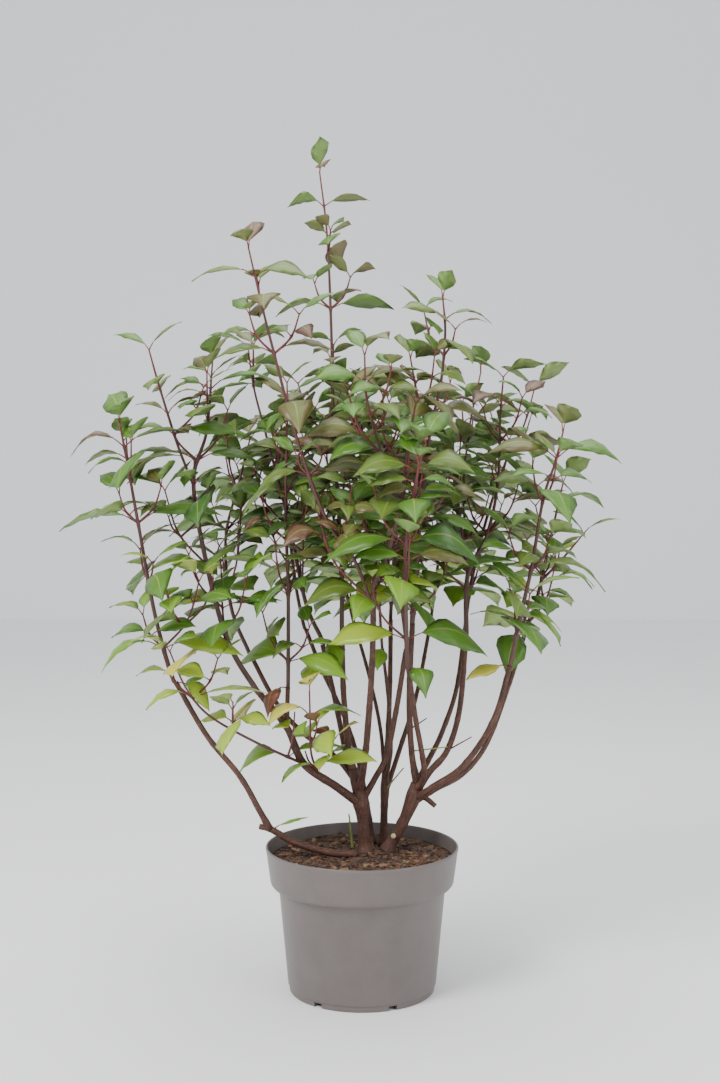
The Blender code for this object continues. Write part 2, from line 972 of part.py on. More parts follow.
def notch_cutter(angle, foot_inner, foot_outer):
    """A block through the foot ring, from its channel out past the wall."""
    ahead = Vector((math.cos(angle), math.sin(angle), 0.0))
    aside = Vector((-ahead.y, ahead.x, 0.0))
    spare = CHANNEL_SLOPE + POT_EDGE
    points = [
        ahead * reach + aside * shift + UP * height
        for reach in (foot_inner - spare, foot_outer + 2 * spare)
        for shift in (-NOTCH_WIDTH / 2, NOTCH_WIDTH / 2)
        for height in (-spare, NOTCH_HEIGHT)
    ]
    cutter = mesh_object("notch_cutter", points, BLOCK_FACES)
    face_outwards(cutter)
    return cutter


def make_soil(finish):
    inner = POT_WALL + 2 * GAP
    floor_top = CHANNEL_HEIGHT + POT_FLOOR + GAP
    rise = (SOIL_TOP - POT_BAND_HEIGHT) / (POT_HEIGHT - POT_BAND_HEIGHT)
    wall_radius = POT_BAND_RADIUS + rise * (POT_RIM_RADIUS - POT_BAND_RADIUS)
    top_radius = wall_radius - inner - SOIL_EDGE
    profile = [
        (0.0, floor_top),
        (POT_BASE_RADIUS - inner, floor_top),
        (POT_SHOULDER_RADIUS - inner, POT_SHOULDER_HEIGHT + GAP),
        (POT_BAND_RADIUS - inner, POT_BAND_HEIGHT + GAP),
        (top_radius, SOIL_TOP - GAP),
        (top_radius - SOIL_EDGE, SOIL_TOP),
        (0.0, SOIL_TOP),
    ]
    return turned("soil", profile, finish)


class Limb:
    """A tapering limb, with its tube and a slightly fatter one that cuts what grows from it."""

    def __init__(self, name, points, sides, ring, level_start=False):
        self.name = name
        self.points = points
        self.route = smooth_route(points, ring)
        self.sides = sides
        self.level_start = level_start

    def solid(self, finish):
        obj = mesh_object(self.name, *tube(self.route, self.sides, 0.0, self.level_start), finish)
        face_outwards(obj)
        return obj

    def cutter(self):
        """The limb's own shape, a gap fatter all over, and a gap longer at both ends."""
        ways = headings(self.route)
        route = list(self.route)
        place, radius = route[0]
        route[0] = (place - ways[0] * GAP, radius)
        place, radius = route[-1]
        route[-1] = (place + ways[-1] * GAP, radius)
        cutter = mesh_object("cutter", *tube(route, self.sides, CUTTER_GAP, self.level_start))
        face_outwards(cutter)
        return cutter

    def guard(self):
        """A tree of the limb's faces, a little fatter, that leaves and twigs must not cross."""
        return tree_of(*tube(self.route, self.sides, LEAF_CLEAR, self.level_start))


def make_trunks(finish, shoot_finish):
    limbs = {}
    for name, points in TRUNKS.items():
        green = name == "young_shoot"
        limb = Limb(name, points, BOUGH_SIDES if green else TRUNK_SIDES, TRUNK_RING, True)
        obj = limb.solid(shoot_finish if green else finish)
        obj.data.shade_smooth()
        limbs[name] = limb
    return limbs


def make_lying_stem(finish, limbs):
    limb = Limb("lying_stem", LYING_STEM, BOUGH_SIDES, TRUNK_RING)
    obj = limb.solid(finish)
    reach = POT_RIM_RADIUS
    points = [
        (x, y, z)
        for x in (-reach, reach)
        for y in (-reach, reach)
        for z in (0.0, SOIL_TOP + GAP)
    ]
    block = mesh_object("ground_cutter", points, BLOCK_FACES)
    face_outwards(block)
    cut(obj, block)
    keep_largest_shell(obj)
    obj.data.shade_smooth()
    limbs["lying_stem"] = limb


def make_boughs(finish, limbs):
    """Each bough starts at its parent's heart and is cut back to lie a gap clear of its kin."""
    for name, (parent, points) in BOUGHS.items():
        limb = Limb(name, points, BOUGH_SIDES, BOUGH_RING)
        obj = limb.solid(finish)
        kin = [parent] + [other for other in limbs if BOUGHS.get(other, ("",))[0] == parent]
        for other in kin:
            cut(obj, limbs[other].cutter())
        keep_largest_shell(obj)
        obj.data.shade_smooth()
        limbs[name] = limb


def leaf_solid(root, azimuth, rise, droop, roll, length, spare=0.0):
    """Corner points and faces of a leaf that rises from its root, arches over and droops.

    Its blade leans so that the side away from the plant's middle hangs lower.
    """
    ahead = Vector((math.cos(azimuth), math.sin(azimuth), 0.0))
    level = Vector((-ahead.y, ahead.x, 0.0))
    outward = Vector((root.x, root.y, 0.0)).normalized()
    roll -= LEAF_LEAN * level.dot(outward)
    droop += OUTER_DROOP * ahead.dot(outward)
    side = level * math.cos(roll) + UP * math.sin(roll)
    first = ahead * math.cos(rise) + UP * math.sin(rise)
    second = ahead * math.cos(droop) - UP * math.sin(droop)
    arch = root + first * length * LEAF_ARCH
    tip = arch + second * (length * (1 - LEAF_ARCH) + spare)
    half = side * (length * LEAF_WIDTH / 2 + spare)
    crown_way = (first + second).cross(side)
    crown_way = crown_way.normalized() * (1 if crown_way.z > 0 else -1)
    thickness = length * LEAF_CROWN
    points = [
        root + UP * (LEAF_ROOT + spare),
        root - UP * (LEAF_ROOT + spare),
        arch - half - crown_way * spare,
        arch + half - crown_way * spare,
        tip,
        arch + crown_way * (thickness + spare),
    ]
    faces = [(0, 2, 5), (0, 5, 3), (2, 4, 5), (5, 4, 3), (1, 3, 2), (2, 3, 4), (0, 1, 2), (0, 3, 1)]
    return points, faces


def tree_of(points, faces):
    return BVHTree.FromPolygons([tuple(point) for point in points], faces)


def blade_guard(points):
    """A tree of the blade alone, from a quarter of the way out, for tests against near leaves."""
    start = points[0].lerp(points[5], 0.5)
    corners = [start, points[2], points[3], points[4], points[5]]
    return tree_of(corners, [(0, 1, 4), (0, 4, 2), (1, 3, 4), (4, 3, 2)])


def span(points, margin):
    low = [min(point[axis] for point in points) - margin for axis in range(3)]
    high = [max(point[axis] for point in points) + margin for axis in range(3)]
    return low, high


def apart(one, other):
    return any(one[0][axis] > other[1][axis] or other[0][axis] > one[1][axis] for axis in range(3))


class Crown:
    """What has grown so far, which a new leaf or twig has to miss."""

    def __init__(self, limbs):
        self.guards = {}
        for name, limb in limbs.items():
            guard = limb.guard()
            self.guards[name] = [(span([place for place, _ in limb.route], 0.02), guard, guard)]

    def add(self, mass, points, whole, blade):
        """Keeps a piece as its own mass meets it, by its blade, and as the others do, whole."""
        self.guards.setdefault(mass, []).append((span(points, 0.002), whole, blade))

    def blocked(self, mass, points, tree, blade=None, skip=()):
        """Whether a new piece meets another mass or limb, or its blade meets one of its own mass."""
        box = span(points, 0.001)
        for owner, pieces in self.guards.items():
            if owner in skip:
                continue
            if owner == mass and blade is None:
                continue
            for other_box, other_whole, other_blade in pieces:
                if apart(box, other_box):
                    continue
                if owner == mass and blade.overlap(other_blade):
                    return True
                if owner != mass and tree.overlap(other_whole):
                    return True
        return False


def grow_leaf(crown, mass, settings, skip, pieces):
    """Adds a leaf, turned or shortened until it clears its neighbours, or adds nothing."""
    root, azimuth, rise, droop, roll, length = settings
    for turn, scale in LEAF_TRIES:
        tried = (root, azimuth + turn, rise, droop, roll, length * scale)
        points, faces = leaf_solid(*tried)
        if min(point.z for point in points) < POT_HEIGHT + RIM_CLEAR:
            continue
        fat_points, _ = leaf_solid(*tried, LEAF_CLEAR)
        guard = tree_of(fat_points, faces)
        blade = blade_guard(points)
        if not crown.blocked(mass, fat_points, guard, blade, skip):
            crown.add(mass, points, guard, blade)
            pieces.append((points, faces, "leaf"))
            return


def node_distances(length, pairs, first, growth):
    """How far below the tip each leaf pair sits, the gaps growing towards the foot."""
    distances = []
    gap = first
    below = first
    for _ in range(pairs):
        if below > length - FOOT_MARGIN:
            break
        distances.append(below)
        gap = min(gap * growth, LONGEST_GAP)
        below += gap
    return distances


def twig_tube(points, ring):
    """Corner points, faces and a fatter guard of a three-sided twig, as stout as the round one."""
    swollen = [(place, radius * TWIG_SWELL) for place, radius in smooth_route(points, ring)]
    tube_points, faces = tube(swollen, TWIG_SIDES)
    fat_points, _ = tube(swollen, TWIG_SIDES, LEAF_CLEAR)
    return tube_points, faces, tree_of(fat_points, faces)


def grow_stem(crown, mass, stem, skip, rng, pieces):
    """The leaves of one stem, in opposite pairs that turn a quarter each time, and its side twigs."""
    points, leaf, first, growth, turn, pairs, twigs = stem
    full = leaf * LEAF_SCALE
    fine = smooth_route(points, FINE_STEP)
    lengths = [(b[0] - a[0]).length for a, b in zip(fine, fine[1:])]
    distances = node_distances(sum(lengths), pairs, first, growth)
    lowest = len(distances) - 1
    twig_nodes = range(lowest, max(0, lowest - twigs), -1)
    azimuth = math.radians(turn)
    way = (fine[-1][0] - fine[-3][0]).normalized()
    root = fine[-1][0] - way * TIP_SINK
    for side in (0, 1):
        spread = azimuth + math.pi * (side + 0.5) + rng.uniform(-TIP_SPREAD, TIP_SPREAD)
        rise = math.radians(rng.uniform(*TIP_RISE))
        droop = math.radians(rng.uniform(*TIP_DROOP))
        length = full * rng.uniform(*TIP_SIZE)
        grow_leaf(crown, mass, (root, spread, rise, droop, 0.0, length), skip, pieces)
    for node, below in enumerate(distances):
        place = place_below(fine, lengths, below)
        sag = math.radians(SAG) * min(1.0, below / SAG_LENGTH)
        size = full * min(1.0, YOUNG_SIZE + SIZE_STEP * node)
        twig_side = rng.randrange(2)
        for side in (0, 1):
            spread = azimuth + math.pi * side + rng.uniform(-PAIR_SPREAD, PAIR_SPREAD)
            rise = math.radians(rng.uniform(*PAIR_RISE)) - sag
            droop = math.radians(rng.uniform(*PAIR_DROOP)) + sag
            roll = rng.uniform(-PAIR_ROLL, PAIR_ROLL)
            root = place + Vector((math.cos(spread), math.sin(spread), 0.0)) * PAIR_OFFSET
            length = size * rng.uniform(*PAIR_SIZE)
            grow_leaf(crown, mass, (root, spread, rise, droop, roll, length), skip, pieces)
            if node in twig_nodes and side == twig_side:
                grow_twig(crown, mass, place, spread, leaf, skip, rng, pieces)
        azimuth += math.radians(90)


def grow_twig(crown, mass, place, spread, leaf, skip, rng, pieces):
    """A short side twig from a leaf's axil, curving upwards, turned until it finds room."""
    length = rng.uniform(*TWIG_LENGTH)
    pairs = 1 if length < TWO_PAIRS_FROM else 2
    first_turn = rng.uniform(0, 180)
    foot, middle, end = TWIG_RADII
    for turn in TWIG_TURNS:
        ahead = Vector((math.cos(spread + turn), math.sin(spread + turn), 0.0))
        elbow = place + (ahead + UP) * length * 0.36
        tip = place + ahead * length * 0.54 + UP * length * 0.86
        points = ((*place, foot), (*elbow, middle), (*tip, end))
        tube_points, faces, guard = twig_tube(points, TWIG_TUBE_RING)
        if crown.blocked(mass, tube_points, guard, None, skip):
            continue
        crown.add(mass, tube_points, guard, guard)
        pieces.append((tube_points, faces, "twig"))
        stem = (points, leaf * TWIG_LEAF, TWIG_FIRST_GAP, TWIG_GROWTH, first_turn, pairs, 0)
        grow_stem(crown, mass, stem, skip, rng, pieces)
        return


def place_below(fine, lengths, below):
    """The place a distance below the tip of a finely divided route."""
    for index in range(len(lengths) - 1, -1, -1):
        if below <= lengths[index]:
            start, end = fine[index], fine[index + 1]
            return end[0].lerp(start[0], below / lengths[index])
        below -= lengths[index]
    return fine[0][0]


def spray_stems(origin, limbs, stems):
    """The stems of a spray, the first one starting at its limb's tip or at a point on its side."""
    points, *rest = stems[0]
    stout = points[0][3] * 1.1
    if isinstance(origin, str):
        parent = origin
        place, radius = limbs[origin].route[-1]
        way = headings(limbs[origin].route)[-1]
        stout = min(radius, stout)
        start = ((*(place + way * GAP), stout), (*(place + way * 2 * FINE_STEP), stout))
    else:
        parent, fraction = origin
        place, _ = point_along(limbs[parent].points, fraction)
        start = ((*place, stout),)
    return parent, (((*start, *points), *rest), *stems[1:])


def grow_sprays(limbs, crown):
    """The pieces of every spray: first all their stems, then the leaves and twigs that miss them."""
    grown = {}
    for name, (origin, _, stems) in SPRAYS.items():
        parent, stems = spray_stems(origin, limbs, stems)
        pieces = []
        for stem in stems:
            points, faces, guard = twig_tube(stem[0], TWIG_RING)
            crown.add(name, points, guard, guard)
            pieces.append((points, faces, "twig"))
        grown[name] = (parent, stems, pieces)
    for seed, (name, (parent, stems, pieces)) in enumerate(grown.items()):
        rng = random.Random(seed)
        for stem in stems:
            grow_stem(crown, name, stem, (parent,), rng, pieces)
    return grown


def make_spray(name, parent, pieces, limbs, finishes):
    origin, colour, _ = SPRAYS[name]
    leaves = bpy.data.collections.new("pieces")
    bpy.context.scene.collection.children.link(leaves)
    kinds = {"twig": finishes["twig"], "leaf": finishes[colour]}
    points, faces, kind = pieces[0]
    spray = mesh_object(name, points, faces, kinds[kind])
    face_outwards(spray)
    for index, (points, faces, kind) in enumerate(pieces[1:]):
        obj = mesh_object("piece_%d" % index, points, faces, kinds[kind])
        face_outwards(obj)
        bpy.context.scene.collection.objects.unlink(obj)
        leaves.objects.link(obj)
    apply_boolean(spray, "UNION", collection=leaves)
    for obj in list(leaves.objects):
        bpy.data.objects.remove(obj, do_unlink=True)
    bpy.data.collections.remove(leaves)
    if not isinstance(origin, str):
        cut(spray, limbs[parent].cutter())
    keep_largest_shell(spray)


def main():
    clear_scene()
    finishes = {
        name: material(name, colour, POT_ROUGHNESS if name == "pot" else OTHER_ROUGHNESS)
        for name, colour in COLOURS.items()
    }
    make_pot(finishes["pot"])
    make_soil(finishes["soil"])
    limbs = make_trunks(finishes["bark"], finishes["shoot"])
    make_lying_stem(finishes["bark"], limbs)
    make_boughs(finishes["bark"], limbs)
    for name, (parent, _, pieces) in grow_sprays(limbs, Crown(limbs)).items():
        make_spray(name, parent, pieces, limbs, finishes)


main()
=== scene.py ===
import math
import random

import bpy
import numpy as np
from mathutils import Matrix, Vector, noise
from mathutils.bvhtree import BVHTree


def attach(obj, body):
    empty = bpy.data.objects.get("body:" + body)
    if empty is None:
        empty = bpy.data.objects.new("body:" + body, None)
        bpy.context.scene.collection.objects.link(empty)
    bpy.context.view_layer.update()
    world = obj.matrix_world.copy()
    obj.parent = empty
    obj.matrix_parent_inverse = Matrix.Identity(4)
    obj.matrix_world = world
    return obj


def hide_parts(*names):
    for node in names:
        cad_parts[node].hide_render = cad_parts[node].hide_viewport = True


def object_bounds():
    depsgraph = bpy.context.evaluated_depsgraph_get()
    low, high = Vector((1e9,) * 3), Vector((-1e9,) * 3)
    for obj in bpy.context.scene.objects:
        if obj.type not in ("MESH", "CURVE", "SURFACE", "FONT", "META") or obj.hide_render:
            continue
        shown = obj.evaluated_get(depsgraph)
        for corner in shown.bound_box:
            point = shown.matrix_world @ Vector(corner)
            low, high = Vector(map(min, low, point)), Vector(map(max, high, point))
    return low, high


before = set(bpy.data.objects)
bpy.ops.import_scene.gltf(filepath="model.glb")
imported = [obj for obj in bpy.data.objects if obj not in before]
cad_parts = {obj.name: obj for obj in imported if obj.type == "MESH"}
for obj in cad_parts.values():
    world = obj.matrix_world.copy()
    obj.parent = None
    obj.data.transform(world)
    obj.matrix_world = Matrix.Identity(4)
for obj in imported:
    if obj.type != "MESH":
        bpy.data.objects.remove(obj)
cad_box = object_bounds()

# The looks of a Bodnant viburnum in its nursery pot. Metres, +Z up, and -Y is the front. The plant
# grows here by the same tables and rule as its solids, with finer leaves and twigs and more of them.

GAP = 0.0003

# Nursery pot
POT_HEIGHT = 0.2145
POT_BASE_RADIUS = 0.1093
POT_SHOULDER_RADIUS = 0.1240
POT_SHOULDER_HEIGHT = 0.1550
POT_BAND_RADIUS = 0.1365
POT_BAND_HEIGHT = 0.1665
POT_RIM_RADIUS = 0.1428
POT_WALL = 0.0022
POT_FLOOR = 0.0035
POT_LIP = 0.0028
POT_EDGE = 0.0015
STEP_WIDTH = 0.0050
FOOT_HEIGHT = 0.0090
FOOT_INSET = 0.0014
FOOT_WIDTH = 0.0110
FOOT_DRAFT = 0.0004
CHANNEL_HEIGHT = 0.0060
CHANNEL_WIDTH = 0.0200
CHANNEL_SLOPE = 0.0020
NOTCH_COUNT = 6
NOTCH_WIDTH = 0.0130
NOTCH_HEIGHT = 0.0070
FIRST_NOTCH = math.radians(-66)

# Soil
SOIL_TOP = 0.1960

# Limbs: sides of their tubes and how far apart the rings stand
TRUNK_SIDES = 10
BOUGH_SIDES = 7
TWIG_SIDES = 3
TRUNK_RING = 0.022
BOUGH_RING = 0.055
TWIG_RING = 0.090
FINE_STEP = 0.006
TWIG_SWELL = 1.45
STEM_SWELL = 1.1
NEARLY_PARALLEL = 0.1

# Leaves
LEAF_ARCH = 0.50
LEAF_WIDTH = 0.42
LEAF_CROWN = 0.045
LEAF_ROOT = 0.0011
LEAF_CLEAR = 0.0012
LEAF_LEAN = 0.55
LEAF_SCALE = 1.25
OUTER_DROOP = 0.25
RIM_CLEAR = 0.004

# Margins of the boxes that sort out what is too far away to meet
LIMB_MARGIN = 0.02
PIECE_MARGIN = 0.002
TEST_MARGIN = 0.001

# Leaf pairs: ranges of angle in degrees, and of length against the stem's full leaf
TIP_RISE = (48, 66)
TIP_DROOP = (-22, 12)
TIP_SIZE = (0.62, 0.74)
TIP_SPREAD = 0.30
TIP_SINK = 0.002
PAIR_RISE = (30, 48)
PAIR_DROOP = (18, 42)
PAIR_SIZE = (0.86, 1.08)
PAIR_SPREAD = 0.22
PAIR_ROLL = 0.30
PAIR_OFFSET = 0.0006
YOUNG_SIZE = 0.80
SIZE_STEP = 0.16
SAG = 10
SAG_LENGTH = 0.26
LONGEST_GAP = 0.098
FOOT_MARGIN = 0.015

# What a leaf tries in turn to find room: a turn in radians, and a share of its length
LEAF_TRIES = ((0.0, 1.0), (0.3, 1.0), (-0.3, 1.0), (0.6, 0.9), (-0.6, 0.9), (0.0, 0.75))

# Side twigs: the range of their length, and the turns in radians that one tries
TWIG_LENGTH = (0.075, 0.150)
TWIG_TURNS = (0.2, -0.5, 0.9, -1.2, 1.7, -2.2, 2.8)
TWIG_RADII = (0.0018, 0.0015, 0.0011)
TWIG_TUBE_RING = 0.06
TWO_PAIRS_FROM = 0.10
TWIG_LEAF = 0.86
TWIG_FIRST_GAP = 0.034
TWIG_GROWTH = 1.15
ELBOW_SHARE = 0.36
TWIG_AHEAD = 0.54
TWIG_UP = 0.86
UP = Vector((0.0, 0.0, 1.0))

# Stems that rise from the soil: points (x, y, z, radius) up each one
TRUNKS = {
    "trunk_left": (
        (0.005, 0.033, SOIL_TOP + GAP, 0.0130), (0.003, 0.032, 0.212, 0.0092),
        (0.001, 0.031, 0.242, 0.0086), (-0.001, 0.030, 0.268, 0.0115), (-0.007, 0.030, 0.295, 0.0092),
        (-0.014, 0.030, 0.322, 0.0072),
    ),
    "trunk_middle": (
        (0.032, 0.070, SOIL_TOP + GAP, 0.0085), (0.033, 0.070, 0.215, 0.0060),
        (0.034, 0.071, 0.255, 0.0056), (0.035, 0.074, 0.282, 0.0070), (0.036, 0.079, 0.315, 0.0052),
    ),
    "trunk_right": (
        (0.037, 0.030, SOIL_TOP + GAP, 0.0120), (0.046, 0.030, 0.213, 0.0086),
        (0.063, 0.030, 0.244, 0.0084), (0.077, 0.030, 0.280, 0.0118), (0.082, 0.030, 0.300, 0.0090),
    ),
    "trunk_behind": (
        (0.017, 0.078, SOIL_TOP + GAP, 0.0065), (0.014, 0.082, 0.215, 0.0046),
        (0.006, 0.088, 0.263, 0.0044), (-0.006, 0.094, 0.325, 0.0040),
    ),
    "young_shoot": (
        (-0.014, 0.048, SOIL_TOP + GAP, 0.0021), (-0.017, 0.047, 0.225, 0.0016),
        (-0.020, 0.046, 0.250, 0.0011),
    ),
}

# The stem that lies on the soil and climbs over the rim, ending in a cut stub
LYING_STEM = (
    (-0.008, 0.006, 0.1985, 0.0050), (-0.043, 0.000, 0.2020, 0.0052), (-0.076, -0.006, 0.2110, 0.0050),
    (-0.106, -0.012, 0.2240, 0.0050), (-0.134, -0.018, 0.2420, 0.0050), (-0.151, -0.021, 0.2470, 0.0042),
)

# Boughs: the limb each one leaves, and its points (x, y, z, radius) from that limb's heart to its tip
BOUGHS = {
    "bough_far_left": (
        "lying_stem",
        (
            (-0.136, -0.018, 0.243, 0.0048), (-0.150, -0.028, 0.272, 0.0045),
            (-0.178, -0.040, 0.326, 0.0042), (-0.224, -0.052, 0.387, 0.0040),
            (-0.267, -0.066, 0.467, 0.0037),
        ),
    ),
    "bough_low_left": (
        "trunk_left",
        (
            (-0.001, 0.030, 0.268, 0.0066), (-0.040, 0.012, 0.300, 0.0062),
            (-0.086, -0.010, 0.338, 0.0058), (-0.110, -0.028, 0.395, 0.0052),
            (-0.148, -0.040, 0.446, 0.0046),
        ),
    ),
    "bough_left_upright": (
        "bough_low_left",
        (
            (-0.110, -0.028, 0.395, 0.0036), (-0.109, -0.031, 0.425, 0.0034),
            (-0.108, -0.034, 0.455, 0.0033),
        ),
    ),
    "bough_tall": (
        "trunk_left",
        (
            (-0.014, 0.030, 0.3223, 0.0052), (-0.021, 0.032, 0.360, 0.0047),
            (-0.028, 0.035, 0.440, 0.0044), (-0.030, 0.038, 0.530, 0.0041),
        ),
    ),
    "bough_left_behind": (
        "trunk_left",
        (
            (-0.009, 0.030, 0.303, 0.0045), (-0.040, 0.040, 0.338, 0.0042),
            (-0.090, 0.056, 0.372, 0.0040), (-0.130, 0.072, 0.414, 0.0037),
            (-0.170, 0.090, 0.484, 0.0035),
        ),
    ),
    "bough_left_middle": (
        "trunk_left",
        (
            (-0.011, 0.030, 0.309, 0.0046), (-0.025, 0.044, 0.346, 0.0043),
            (-0.040, 0.056, 0.418, 0.0040), (-0.060, 0.066, 0.505, 0.0037),
        ),
    ),
    "bough_front_centre": (
        "trunk_left",
        (
            (-0.005, 0.030, 0.288, 0.0056), (0.001, 0.008, 0.320, 0.0052), (0.007, -0.024, 0.378, 0.0048),
            (0.014, -0.072, 0.490, 0.0044), (0.016, -0.108, 0.600, 0.0040),
        ),
    ),
    "bough_centre": (
        "trunk_left",
        (
            (0.000, 0.030, 0.274, 0.0052), (0.018, 0.026, 0.306, 0.0047), (0.037, 0.020, 0.346, 0.0043),
            (0.052, 0.010, 0.422, 0.0040), (0.064, 0.002, 0.502, 0.0037),
        ),
    ),
    "bough_back_centre": (
        "trunk_middle",
        (
            (0.036, 0.079, 0.3153, 0.0046), (0.040, 0.094, 0.362, 0.0042), (0.044, 0.138, 0.440, 0.0038),
            (0.046, 0.184, 0.530, 0.0035),
        ),
    ),
    "bough_slender": (
        "trunk_middle",
        (
            (0.035, 0.075, 0.290, 0.0032), (0.044, 0.062, 0.345, 0.0029), (0.040, 0.060, 0.420, 0.0027),
            (0.031, 0.056, 0.500, 0.0025),
        ),
    ),
    "bough_back_thin": (
        "trunk_middle",
        (
            (0.035, 0.076, 0.298, 0.0032), (0.028, 0.108, 0.372, 0.0029), (0.010, 0.148, 0.450, 0.0028),
            (-0.014, 0.186, 0.530, 0.0026),
        ),
    ),
    "bough_back_left": (
        "trunk_behind",
        (
            (-0.006, 0.094, 0.3253, 0.0038), (-0.028, 0.102, 0.390, 0.0036),
            (-0.062, 0.122, 0.458, 0.0034), (-0.088, 0.140, 0.520, 0.0032),
        ),
    ),
    "bough_right_upright": (
        "trunk_right",
        (
            (0.082, 0.030, 0.3003, 0.0054), (0.074, 0.024, 0.350, 0.0046), (0.070, 0.012, 0.432, 0.0043),
            (0.074, -0.004, 0.545, 0.0039),
        ),
    ),
    "bough_front": (
        "trunk_right",
        (
            (0.079, 0.030, 0.288, 0.0048), (0.092, 0.000, 0.322, 0.0043), (0.078, -0.050, 0.407, 0.0038),
            (0.065, -0.098, 0.490, 0.0034),
        ),
    ),
    "bough_right_middle": (
        "trunk_right",
        (
            (0.077, 0.030, 0.279, 0.0058), (0.100, 0.022, 0.318, 0.0052), (0.127, 0.026, 0.350, 0.0047),
            (0.146, 0.034, 0.410, 0.0043), (0.156, 0.046, 0.510, 0.0040),
        ),
    ),
    "bough_right_behind": (
        "trunk_right",
        (
            (0.078, 0.030, 0.284, 0.0048), (0.094, 0.052, 0.318, 0.0044), (0.120, 0.080, 0.362, 0.0040),
            (0.146, 0.112, 0.428, 0.0037), (0.160, 0.140, 0.510, 0.0034),
        ),
    ),
    "bough_far_right_low": (
        "trunk_right",
        (
            (0.076, 0.030, 0.275, 0.0056), (0.106, 0.006, 0.300, 0.0050), (0.150, -0.018, 0.338, 0.0046),
            (0.190, -0.044, 0.408, 0.0042), (0.212, -0.062, 0.490, 0.0038),
        ),
    ),
    "bough_far_right": (
        "trunk_right",
        (
            (0.075, 0.030, 0.270, 0.0050), (0.110, 0.032, 0.291, 0.0044), (0.152, 0.038, 0.313, 0.0041),
            (0.190, 0.054, 0.358, 0.0038), (0.226, 0.078, 0.446, 0.0035), (0.250, 0.094, 0.518, 0.0033),
        ),
    ),
    "bough_back_right": (
        "trunk_middle",
        (
            (0.034, 0.072, 0.272, 0.0042), (0.056, 0.104, 0.330, 0.0038), (0.086, 0.154, 0.414, 0.0034),
            (0.108, 0.204, 0.510, 0.0031),
        ),
    ),
}

